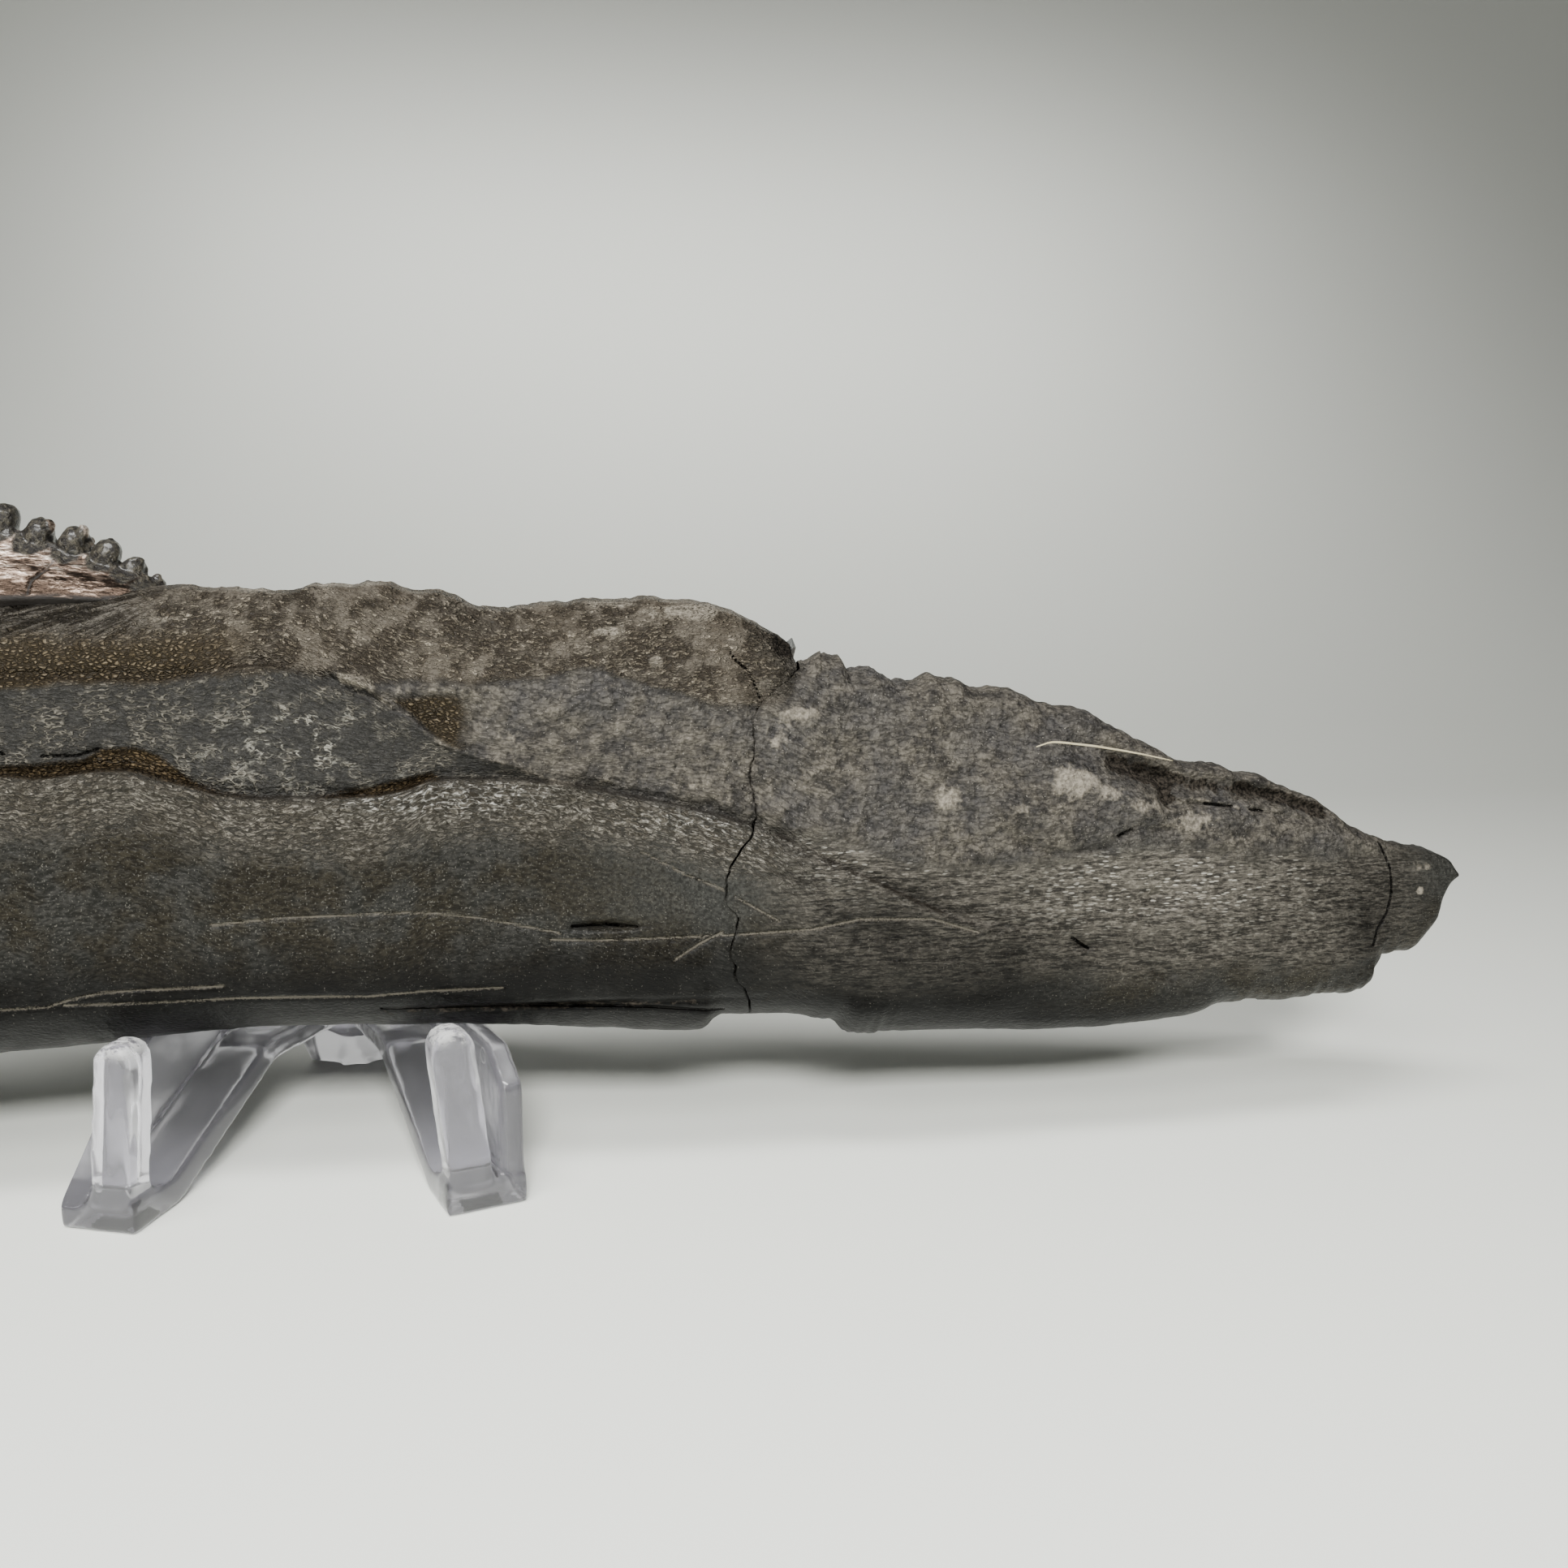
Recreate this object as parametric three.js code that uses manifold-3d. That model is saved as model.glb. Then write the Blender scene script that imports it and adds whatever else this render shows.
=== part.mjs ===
// Fossil jaw of an edestus shark, leaning on a small clear easel.
// Millimetres, +X along the jaw to its broken front tip, +Y towards the back, +Z up.
// The jaw's own plane has x along the jaw and h up from the keel's general line, and y is its thickness.
import * as THREE from 'three';
import { mergeVertices } from 'three/addons/utils/BufferGeometryUtils.js';
import Module from 'manifold-3d';

const wasm = await Module();
wasm.setup();

// Where the jaw sits in the easel
const LEAN = THREE.MathUtils.degToRad(10);
const KEEL_Y = 12.3;
const KEEL_Z = 17.5;

// Side outline of the jaw: [x, h] of its top edge and of its keel, from the back end to the tip
const BACK_END_X = -110;
const TIP_END_X = 144.5;
const TOP_EDGE = [
  [-110, 35], [-106, 41], [-98, 45], [-80, 49], [-60, 51], [-30, 52.2], [-14, 53], [-3, 52.4],
  [6, 53.2], [16.5, 52], [22, 50.4], [32, 50.8], [43, 51.4], [47.5, 49.6], [51, 46.6], [53, 43.6],
  [60, 44.2], [66, 42.4], [76, 40.8], [90, 38.2], [100, 34], [108, 30], [121, 26.4], [130, 21],
  [141.5, 17.6], [144.5, 15.6],
];
const KEEL = [
  [-110, 29], [-106, 19], [-98, 8], [-84, -1.5], [-66, -2.8], [-34, -0.4], [-20, 0.5], [-6, 1.4],
  [21, 0.6], [32, -0.2], [47, -1.2], [50, 0.6], [57, 0.5], [61, 0], [66, -2.2], [80, -2.6],
  [92, -3], [106, -2.2], [113, -0.5], [130, 0.2], [134, 4.4], [139, 6], [142, 10], [144.5, 13.6],
];

// Nested roots: the upper lip of the youngest and of the middle root, and how far each one stands out
const YOUNG_LIP = [
  [-110, 24], [-60, 30], [-25, 31], [-18, 32.7], [-9, 30], [-1, 28], [6, 28], [16, 30], [25, 29.6],
  [40, 27], [53, 23.4], [65, 17.4], [81, 10.8], [100, 9], [144.5, 12],
];
const MIDDLE_LIP = [
  [-110, 30], [-60, 40], [-25, 41.8], [-12, 41.5], [-3, 43], [7, 40], [15, 36.5], [31, 34], [53, 35],
  [90, 24], [144.5, 15],
];
const YOUNG_LEDGE = 1.2;
const YOUNG_LEDGE_ENDS = [78, 88];
const MIDDLE_LEDGE = 0.9;
const MIDDLE_LEDGE_ENDS = [12, 24];
const LIP_HALF_STEP = 0.5;

// Half thickness of the roots against the share of the depth above the keel, and its scale along the jaw
const HALF_THICKNESS = [
  [0, 0], [0.015, 3.6], [0.05, 6.2], [0.12, 8.2], [0.22, 9.3], [0.4, 9.7], [0.6, 9.3], [0.8, 8.2],
  [0.92, 7], [0.98, 5], [1, 2.2],
];
const THICKNESS_SCALE = [
  [-110, 0.3], [-104, 0.62], [-92, 0.9], [-70, 1], [53, 1], [90, 0.88], [120, 0.68], [144.5, 0.2],
];
// Shares of the depth over which ledges, lumps and crust fade out towards the keel and the top edge
const KEEL_FADE = 0.1;
const TOP_FADE = 0.06;

// Rows of points on each flank: shares of the height between the keel, the two lips and the top edge
const LOW_ROWS = [0.02, 0.07, 0.16, 0.3, 0.48, 0.68, 0.86];
const MIDDLE_ROWS = [0.35, 0.7];
const HIGH_ROWS = [0.25, 0.5, 0.75, 0.92];
// Least share of the depth above and below each lip, and between the two
const LEAST_SHARE = 0.12;
const BODY_STATIONS = 43;
const TIP_STATIONS = 34;

// Lumps and hollows of the flank that shows in front: [x, h, reach along x, reach along h, rise]
const FRONT_LUMPS = [
  [36, 39, 17, 7, 0.8],
  [58.5, 36.5, 4, 3, 0.6],
  [90, 26, 9, 6.5, 2],
  [106, 26, 13, 2.2, -2.4],
  [112, 30.5, 16, 2, 0.9],
  [64.5, 0.5, 4.5, 2.4, 1.1],
  [36, 8, 26, 2.6, 0.5],
  [102, 13.5, 2.4, 2.4, -0.8],
  [126, 12, 6, 8, -0.7],
];
const BACK_LUMPS = [
  [30, 36, 16, 8, 0.8],
  [86, 24, 12, 7, 1.2],
  [-20, 16, 26, 6, 0.4],
];

// Crust that roughens both flanks: [waves per mm along x, waves per mm along h, phase, height]
const CRUST = [[0.43, 0.71, 0.4, 0.16], [0.91, -0.57, 1.9, 0.12], [1.37, 1.13, 4.2, 0.09]];

// The break right through the jaw: [h, x], and the clearance between the two broken faces
const BREAK_X = 53;
const BREAK_REACH = 12;
const BREAK_GAP = 0.3;
const BREAK = [
  [-3, 52], [2.5, 51.6], [8, 49.6], [13, 49.8], [16.5, 49.2], [21, 51.4], [25.5, 53], [31, 53], [38.3, 54],
  [41, 57.2], [44, 59.4], [50, 61],
];

// Crown: [x, h] of the blade's edge under its denticles, and of the enamel's lower rim
const CROWN_EDGE = [
  [-14, 52.6], [-16.5, 54.4], [-22, 56.4], [-30, 59.4], [-34, 61.2], [-38, 65.6], [-42.5, 74],
  [-47, 82.6], [-48.6, 83.6], [-50.2, 81], [-53, 72], [-56, 63.5], [-59, 57], [-61.5, 53],
];
const CROWN_RIM = [[-14, 51.4], [-20, 50.9], [-34, 50.4], [-48, 48.6], [-58, 50], [-61.5, 51]];
const CROWN_STATIONS = 22;
const CROWN_ROOTED = 47;
// Ring of the crown: [share of the height above the rim, half thickness]
const CROWN_SECTION = [[0, 7.1], [0.3, 6.3], [0.62, 3.9], [0.9, 1.6]];
const CROWN_END_SCALE = 0.55;

// Denticles along the crown's edge: [distance along the edge, size] of the small ones at its front end,
// then one of full size at every pitch
const FRONT_DENTICLES = [[1.3, 0.5], [4.1, 0.72], [7.9, 0.97]];
const DENTICLE_PITCH = 4.1;
const DENTICLE_HALF_WIDTH = 1.95;
const DENTICLE_HALF_HEIGHT = 2.6;
const DENTICLE_HALF_DEPTH = 1.9;
const DENTICLE_LIFT = 0.4;
const DENTICLE_SIDES = 6;
const DENTICLE_RINGS = 4;

// Crowns on the jaw: how far each is moved back, lowered and turned along the arch of the jaw
const CROWNS = [
  { back: 0, drop: 0, turn: 0 },
  { back: 44, drop: 2.2, turn: 5 },
];

// Easel: two legs that meet behind, each with a foot, a hook and a back rest
const FOOT_X = 21.3;
const LEG_TURN = THREE.MathUtils.degToRad(20);
const FOOT_WIDTH = 9.5;
const WEB_THICKNESS = 2.8;
const SEAT_HEIGHT = 17.7;
const HOOK_WIDTH = 5;
const HOOK_DEPTH = 4.5;
const HOOK_HEIGHT = 22;
const HOOK_INSET = 1;
const HOOK_ROOT = 1;
const HOOK_LEAN = THREE.MathUtils.degToRad(5.8);
const HOOK_SEGMENTS = 6;
const SPINE_WIDTH = 11;
const SPINE_DEPTH = 6;
const SPINE_HEIGHT = 9;
const SPINE_Y = 56;
// [distance back from the front of the foot, height] round a leg's web, and round its lower flange
const WEB_OUTLINE = [
  [0.4, 0], [0.4, 14.2], [5.6, SEAT_HEIGHT], [25, SEAT_HEIGHT], [33, 54], [36, 54], [61, 9], [61, 0],
  [55, 0], [49.5, 8.5], [31, 9.5], [9, 0],
];
const FLANGE_OUTLINE = [
  [0, 0], [0, 3.6], [7.6, 3.6], [29.5, 13], [51, 12], [58, 3], [61, 3], [61, 0], [55, 0], [49.5, 8.5],
  [31, 9.5], [9, 0],
];

const MERGE_DISTANCE = 1e-4;

// Value at a place along a list of [place, value] knots, on a smooth curve through them
function valueAt(knots, place) {
  const last = knots.length - 1;
  if (place <= knots[0][0]) return knots[0][1];
  if (place >= knots[last][0]) return knots[last][1];
  const i = knots.findIndex((knot) => knot[0] > place) - 1;
  const slope = (a, b) => (knots[b][1] - knots[a][1]) / (knots[b][0] - knots[a][0]);
  const span = knots[i + 1][0] - knots[i][0];
  const here = slope(i, i + 1);
  // Slopes at the knots stay at 0 where the curve turns, so that it never overshoots them
  const steer = (before) => (before * here > 0 ? (2 * before * here) / (before + here) : 0);
  const start = i > 0 ? steer(slope(i - 1, i)) : here;
  const end = i + 1 < last ? steer(slope(i + 1, i + 2)) : here;
  const t = (place - knots[i][0]) / span;
  const rise = knots[i + 1][1] - knots[i][1];
  return knots[i][1] + t * t * (3 - 2 * t) * rise
    + span * t * (1 - t) * ((1 - t) * start - t * end);
}

// Closed solid through a row of rings with equal numbers of points, with a fan across each end
function throughRings(rings) {
  const size = rings[0].length;
  const positions = rings.flat().flatMap((point) => point.toArray());
  const index = [];
  for (let i = 0; i + 1 < rings.length; i += 1) {
    for (let j = 0; j < size; j += 1) {
      const a = i * size + j;
      const b = i * size + ((j + 1) % size);
      index.push(a, a + size, b, b, a + size, b + size);
    }
  }
  for (const end of [0, rings.length - 1]) {
    const middle = new THREE.Vector3();
    rings[end].forEach((point) => middle.addScaledVector(point, 1 / size));
    const centre = positions.length / 3;
    positions.push(...middle.toArray());
    for (let j = 0; j < size; j += 1) {
      const a = end * size + j;
      const b = end * size + ((j + 1) % size);
      index.push(...(end === 0 ? [centre, a, b] : [centre, b, a]));
    }
  }
  const geometry = new THREE.BufferGeometry();
  geometry.setAttribute('position', new THREE.Float32BufferAttribute(positions, 3));
  geometry.setIndex(index);
  return geometry;
}

function toManifold(geometry) {
  const bare = geometry.clone();
  bare.deleteAttribute('normal');
  bare.deleteAttribute('uv');
  const merged = mergeVertices(bare, MERGE_DISTANCE);
  return new wasm.Manifold(new wasm.Mesh({
    numProp: 3,
    vertProperties: new Float32Array(merged.attributes.position.array),
    triVerts: new Uint32Array(merged.index.array),
  }));
}

function joined(geometries) {
  const mesh = geometries.map(toManifold).reduce((whole, next) => whole.add(next)).getMesh();
  const geometry = new THREE.BufferGeometry();
  geometry.setAttribute('position', new THREE.BufferAttribute(mesh.vertProperties, 3));
  geometry.setIndex(new THREE.BufferAttribute(mesh.triVerts, 1));
  return geometry;
}

// How much of a ledge is left at x, fading out between its two ends
function ledgeLeft(x, ends) {
  return 1 - THREE.MathUtils.smoothstep(x, ends[0], ends[1]);
}

// Half thickness of a flank at x and h; side is -1 in front and 1 behind
function halfThickness(x, h, side) {
  const keel = valueAt(KEEL, x);
  const share = (h - keel) / (valueAt(TOP_EDGE, x) - keel);
  let half = valueAt(HALF_THICKNESS, share);
  const edge = THREE.MathUtils.smoothstep(share, 0, KEEL_FADE)
    * THREE.MathUtils.smoothstep(1 - share, 0, TOP_FADE);
  if (h < valueAt(MIDDLE_LIP, x)) half += MIDDLE_LEDGE * ledgeLeft(x, MIDDLE_LEDGE_ENDS) * edge;
  if (h < valueAt(YOUNG_LIP, x)) half += YOUNG_LEDGE * ledgeLeft(x, YOUNG_LEDGE_ENDS) * edge;
  for (const [atX, atH, reachX, reachH, rise] of side < 0 ? FRONT_LUMPS : BACK_LUMPS) {
    half += rise * edge * Math.exp(-(((x - atX) / reachX) ** 2) - ((h - atH) / reachH) ** 2);
  }
  for (const [alongX, alongH, phase, height] of CRUST) {
    half += height * edge * Math.sin(alongX * x + alongH * h + phase + side);
  }
  return half * valueAt(THICKNESS_SCALE, x);
}

// Heights of the rows of one flank at x, from above the keel to below the top edge
function rowHeights(x) {
  const keel = valueAt(KEEL, x);
  const top = valueAt(TOP_EDGE, x);
  const least = LEAST_SHARE * (top - keel);
  const middle = THREE.MathUtils.clamp(valueAt(MIDDLE_LIP, x), keel + 3 * least, top - least);
  const young = THREE.MathUtils.clamp(valueAt(YOUNG_LIP, x), keel + least, middle - least);
  const step = Math.min(LIP_HALF_STEP, least / 3);
  const between = (low, high, shares) => shares.map((share) => THREE.MathUtils.lerp(low, high, share));
  return [
    ...between(keel, young, LOW_ROWS), young - step, young + step,
    ...between(young, middle, MIDDLE_ROWS), middle - step, middle + step,
    ...between(middle, top, HIGH_ROWS),
  ];
}

// Ring of the jaw at x: keel, front flank upwards, top edge, back flank downwards
function jawRing(x, gapSide) {
  const nearBreak = Math.max(0, 1 - Math.abs(x - BREAK_X) / BREAK_REACH);
  const point = (half, h) => {
    const shift = (valueAt(BREAK, h) - BREAK_X) * nearBreak;
    const gap = x === BREAK_X ? gapSide * BREAK_GAP / 2 : 0;
    return new THREE.Vector3(x + shift + gap, half, h);
  };
  const heights = rowHeights(x);
  const front = heights.map((h) => point(-halfThickness(x, h, -1), h));
  const back = heights.map((h) => point(halfThickness(x, h, 1), h)).reverse();
  return [point(0, valueAt(KEEL, x)), ...front, point(0, valueAt(TOP_EDGE, x)), ...back];
}

function jawStretch(from, to, stations, gapSide) {
  const rings = [];
  for (let i = 0; i <= stations; i += 1) {
    rings.push(jawRing(i === stations ? to : THREE.MathUtils.lerp(from, to, i / stations), gapSide));
  }
  return throughRings(rings);
}

// Blade of a crown, its lower part sunk into the roots
function crownBlade() {
  const rings = [];
  const front = CROWN_EDGE[0][0];
  const back = CROWN_EDGE[CROWN_EDGE.length - 1][0];
  const edge = CROWN_EDGE.map(([x, h]) => [-x, h]);
  const lowerRim = CROWN_RIM.map(([x, h]) => [-x, h]);
  for (let i = CROWN_STATIONS; i >= 0; i -= 1) {
    const x = THREE.MathUtils.lerp(front, back, i / CROWN_STATIONS);
    const rim = valueAt(lowerRim, -x);
    const high = valueAt(edge, -x);
    const fullness = Math.sqrt(Math.sin((i / CROWN_STATIONS) * Math.PI));
    const endScale = THREE.MathUtils.lerp(CROWN_END_SCALE, 1, fullness);
    const flank = (side) => CROWN_SECTION.map(([share, half]) => (
      new THREE.Vector3(x, side * half * endScale, THREE.MathUtils.lerp(rim, high, share))));
    rings.push([
      new THREE.Vector3(x, 0, CROWN_ROOTED), ...flank(-1),
      new THREE.Vector3(x, 0, high), ...flank(1).reverse(),
    ]);
  }
  return throughRings(rings);
}

function denticles() {
  const path = new THREE.CatmullRomCurve3(CROWN_EDGE.map(([x, h]) => new THREE.Vector3(x, 0, h)));
  const length = path.getLength();
  const places = [...FRONT_DENTICLES];
  const [lastOfFront] = FRONT_DENTICLES[FRONT_DENTICLES.length - 1];
  for (let at = lastOfFront + DENTICLE_PITCH; at < length; at += DENTICLE_PITCH) places.push([at, 1]);
  return places.map(([at, size]) => {
    const place = path.getPointAt(at / length);
    const along = path.getTangentAt(at / length);
    const outward = new THREE.Vector3(along.z, 0, -along.x);
    const knob = new THREE.SphereGeometry(size, DENTICLE_SIDES, DENTICLE_RINGS);
    knob.scale(DENTICLE_HALF_WIDTH, DENTICLE_HALF_HEIGHT, DENTICLE_HALF_DEPTH);
    knob.rotateX(Math.PI / 2);
    knob.rotateY(Math.atan2(outward.x, outward.z));
    place.addScaledVector(outward, DENTICLE_LIFT);
    knob.translate(...place);
    return knob;
  });
}

function placedCrown({ back, drop, turn }) {
  const pieces = [crownBlade(), ...denticles()];
  const pivot = new THREE.Vector3(CROWN_EDGE[0][0], 0, CROWN_EDGE[0][1]);
  for (const piece of pieces) {
    piece.translate(-pivot.x, 0, -pivot.z);
    piece.rotateY(THREE.MathUtils.degToRad(-turn));
    piece.translate(pivot.x - back, 0, pivot.z - drop);
  }
  return pieces;
}

// Plate from an outline of [back, height] points, between two places across the leg
function plate(outline, from, to) {
  const shape = new THREE.Shape(outline.map(([back, height]) => new THREE.Vector2(back, height)));
  const geometry = new THREE.ExtrudeGeometry(shape, { depth: to - from, bevelEnabled: false });
  geometry.rotateX(Math.PI / 2);
  geometry.rotateZ(Math.PI / 2);
  geometry.translate(from, 0, 0);
  return geometry;
}

// Hook with a round top, leaning towards the middle of the easel; side is 1 on the right leg and -1 on the left
function hook(side) {
  const half = HOOK_WIDTH / 2;
  const shape = new THREE.Shape();
  shape.moveTo(-half, HOOK_ROOT);
  shape.lineTo(half, HOOK_ROOT);
  shape.lineTo(half, HOOK_HEIGHT - half);
  shape.absarc(0, HOOK_HEIGHT - half, half, 0, Math.PI, false);
  const geometry = new THREE.ExtrudeGeometry(shape, {
    depth: HOOK_DEPTH, bevelEnabled: false, curveSegments: HOOK_SEGMENTS,
  });
  geometry.rotateZ(side * HOOK_LEAN);
  geometry.rotateX(Math.PI / 2);
  geometry.translate(side * (HOOK_INSET + half - FOOT_WIDTH / 2), HOOK_DEPTH, 0);
  return geometry;
}

function leg(side) {
  const outer = side * FOOT_WIDTH / 2;
  const inner = outer - side * WEB_THICKNESS;
  const pieces = [
    plate(FLANGE_OUTLINE, -FOOT_WIDTH / 2, FOOT_WIDTH / 2),
    plate(WEB_OUTLINE, Math.min(inner, outer), Math.max(inner, outer)),
    hook(side),
  ];
  for (const piece of pieces) {
    piece.rotateZ(side * LEG_TURN);
    piece.translate(side * FOOT_X, 0, 0);
  }
  return pieces;
}

function spine() {
  const geometry = new THREE.BoxGeometry(SPINE_WIDTH, SPINE_DEPTH, SPINE_HEIGHT);
  geometry.translate(0, SPINE_Y, SPINE_HEIGHT / 2);
  return geometry;
}

function piece(name, geometry, material) {
  const mesh = new THREE.Mesh(geometry, new THREE.MeshStandardMaterial(material));
  mesh.name = name;
  return mesh;
}

const jaw = new THREE.Group();
jaw.add(
  piece(
    'jaw_roots_and_crowns',
    joined([jawStretch(BACK_END_X, BREAK_X, BODY_STATIONS, -1), ...CROWNS.flatMap(placedCrown)]),
    { color: '#3d3b35', roughness: 0.5 },
  ),
  piece(
    'jaw_front_tip',
    jawStretch(BREAK_X, TIP_END_X, TIP_STATIONS, 1),
    { color: '#47443d', roughness: 0.65 },
  ),
);
jaw.rotation.x = -LEAN;
jaw.position.set(0, KEEL_Y, KEEL_Z);

const display = new THREE.Group();
display.add(jaw, piece(
  'clear_easel',
  joined([...leg(1), ...leg(-1), spine()]),
  { color: '#dcdde6', roughness: 0.15, transparent: true, opacity: 0.4 },
));

// The origin is the middle of the bottom of the whole display
const bounds = new THREE.Box3().setFromObject(display);
display.position.set(
  -(bounds.min.x + bounds.max.x) / 2,
  -(bounds.min.y + bounds.max.y) / 2,
  -bounds.min.z,
);
const group = new THREE.Group();
group.add(display);

export default group;
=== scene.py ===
import math

import bmesh
import bpy
import numpy as np
from mathutils import Matrix, Vector


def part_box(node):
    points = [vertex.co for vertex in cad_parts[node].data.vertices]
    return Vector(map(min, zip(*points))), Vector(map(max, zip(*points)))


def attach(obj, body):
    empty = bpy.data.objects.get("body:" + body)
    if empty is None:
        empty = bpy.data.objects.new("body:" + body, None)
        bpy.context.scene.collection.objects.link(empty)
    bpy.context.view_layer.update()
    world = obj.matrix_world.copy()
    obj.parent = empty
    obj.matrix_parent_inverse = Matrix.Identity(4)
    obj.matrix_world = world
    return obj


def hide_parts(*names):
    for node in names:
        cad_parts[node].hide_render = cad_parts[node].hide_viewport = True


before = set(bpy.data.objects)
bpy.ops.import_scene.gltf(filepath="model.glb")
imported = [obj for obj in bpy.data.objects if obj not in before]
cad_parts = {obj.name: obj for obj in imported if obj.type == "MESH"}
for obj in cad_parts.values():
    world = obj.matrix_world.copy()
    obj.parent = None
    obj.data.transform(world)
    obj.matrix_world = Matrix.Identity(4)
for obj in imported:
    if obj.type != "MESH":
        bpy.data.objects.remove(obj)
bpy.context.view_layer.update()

# The camera stands a little to the right of the easel and above it, and looks slightly down and to the
# right along the jaw. Places are in metres from the point on the table between the easel's two front
# feet.
LEFT_END_TO_FEET = 0.110
FEET_TO_REAR = 0.059
FEET = Vector((
    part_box("jaw_roots_and_crowns")[0].x + LEFT_END_TO_FEET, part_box("clear_easel")[1].y - FEET_TO_REAR, 0))
CAMERA_PLACE = Vector((0.0324, -0.1709, 0.079))
CAMERA_TURN = math.radians(7.6)
CAMERA_DIP = math.radians(10)
CAMERA_LENS = 36.09
CAMERA_SENSOR = 36
CAMERA_SEES = (0.005, 20)

camera_data = bpy.data.cameras.new("camera")
camera_data.lens = CAMERA_LENS
camera_data.sensor_width = CAMERA_SENSOR
camera_data.clip_start, camera_data.clip_end = CAMERA_SEES
camera = bpy.data.objects.new("camera", camera_data)
camera.location = FEET + CAMERA_PLACE
camera.rotation_euler = (math.pi / 2 - CAMERA_DIP, 0, -CAMERA_TURN)
bpy.context.scene.collection.objects.link(camera)
bpy.context.scene.camera = camera

# The main piece of the jaw: tooth roots that grew one inside the next and turned to stone together, with
# a crust of the rock that they lay in. Sizes are in millimetres in the jaw's own plane: x along the jaw,
# h up from its keel, y through its thickness. The plane leans back in the easel.
LEAN = math.radians(10)
KEEL_Y = 12.3
KEEL_Z = 17.5
BACK_END_X = -110
TIP_END_X = 144.5
TOP_EDGE = [
    (-110, 35), (-106, 41), (-98, 45), (-80, 49), (-60, 51), (-30, 52.2), (-14, 53), (-3, 52.4),
    (6, 53.2), (16.5, 52), (22, 50.4), (32, 50.8), (43, 51.4), (47.5, 49.6), (51, 46.6), (53, 43.6),
    (60, 44.2), (66, 42.4), (76, 40.8), (90, 38.2), (100, 34), (107, 30.4), (113.8, 29), (121.6, 26.6),
    (126, 24.2), (130.7, 20.9), (135.7, 19.6), (141.4, 18), (143.4, 17), (144.5, 15.3),
]
KEEL = [
    (-110, 29), (-106, 19), (-98, 8), (-84, -1.5), (-66, -2.8), (-34, -0.4), (-20, 0.5), (-6, 1.4),
    (21, 0.6), (32, -0.2), (47, -1.2), (48.6, 0), (50, 0.6), (57, 0.5), (61, 0), (66, -2.2), (80, -2.6),
    (92, -3), (106, -2.2), (113, -0.5), (130.6, 0), (131.7, 0.8), (132.1, 2.2), (133.1, 3.5),
    (133.7, 4.8), (137.2, 5.4), (139.4, 6.4), (141.3, 8.2), (142.2, 11.1), (143.7, 13.7), (144.5, 14.5),
]
YOUNG_LIP = [
    (-110, 24), (-60, 30), (-30, 31.3), (-26, 30.9), (-19, 31.6), (-16.6, 31.6), (-13.2, 30.6),
    (-9.7, 29.6), (-6.3, 28.6), (-1.9, 28.1), (8.7, 28.1), (13.2, 28.7), (16.5, 29.8), (25, 29.6),
    (40, 27), (53, 23.4), (65, 17.4), (81, 10.8), (100, 9), (144.5, 12),
]
MIDDLE_LIP = [
    (-110, 30), (-60, 40), (-25, 41.8), (-12, 41.5), (-3, 43), (7, 40), (15, 36.5), (31, 34), (53, 35),
    (90, 24), (144.5, 15),
]
# The dark groove just above the youngest root's lip: how high it is along the jaw, and how deep
GROOVE_DEPTH = 0.5
GROOVE = [
    (-110, 0.6), (-60, 0.8), (-30, 1), (-25, 1.6), (-21.7, 1.4), (-19, 2.4), (-14, 2.5), (-11.8, 1.7),
    (-9.7, 0.6), (-6, 0.25), (2, 0), (4.3, 0.2), (8, 0.9), (13, 1.3), (16, 0.8), (17.5, 0), (144.5, 0),
]
# Front end of the middle root: x against h
MIDDLE_END = [(28.3, 32.1), (30.8, 25.8), (32.5, 20.4), (34.4, 15.9), (37, 13.1), (40.4, 8.9), (42.1, 5.4)]
# Lower edge of the oldest root, where it comes out from behind the middle one
OLDEST_FROM = [
    (-110, 30), (-60, 40), (-12, 41.5), (5, 42.6), (10, 41), (20, 40.8), (28, 41.6), (34, 42), (42, 40),
    (50, 38), (56, 38), (62, 46), (70, 50),
]
# How far the lips stand out of the flank, and between which x each ledge fades
YOUNG_LEDGE, YOUNG_LEDGE_ENDS = 1.2, (78, 88)
MIDDLE_LEDGE, MIDDLE_LEDGE_ENDS = 0.9, (12, 24)
# Half thickness against the share of the way up from keel to top edge, and its scale along the jaw
HALF_THICKNESS = [
    (0, 0), (0.015, 3.6), (0.05, 6.2), (0.12, 8.2), (0.22, 9.3), (0.4, 9.7), (0.6, 9.3), (0.8, 8.2),
    (0.92, 7), (0.98, 5), (1, 2.2),
]
THICKNESS_SCALE = [
    (-110, 0.3), (-104, 0.62), (-92, 0.9), (-70, 1), (53, 1), (90, 0.88), (120, 0.68), (144.5, 0.2),
]
# The break: its middle, how far the rings of points bend with it to both sides, its gap, and h against x
BREAK_X, BREAK_REACH, BREAK_GAP = 53, 12, 0.3
BREAK = [
    (-3, 52), (2.5, 51.6), (8, 49.6), (13, 49.8), (16.5, 49.2), (21, 51.4), (25.5, 53), (31, 53),
    (38.3, 54), (41, 57.2), (44, 59.4), (50, 61),
]
BREAK_WANDER = 0.9
# How deep the filled and the open hair cracks are, and the distances over which they deepen, in mm
PALE_CRACK_DEPTH, PALE_CRACK_REACH = 0.2, (0.5, 0.1)
DARK_CRACK_DEPTH, DARK_CRACK_REACH = 0.4, (0.45, 0.1)
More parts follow.
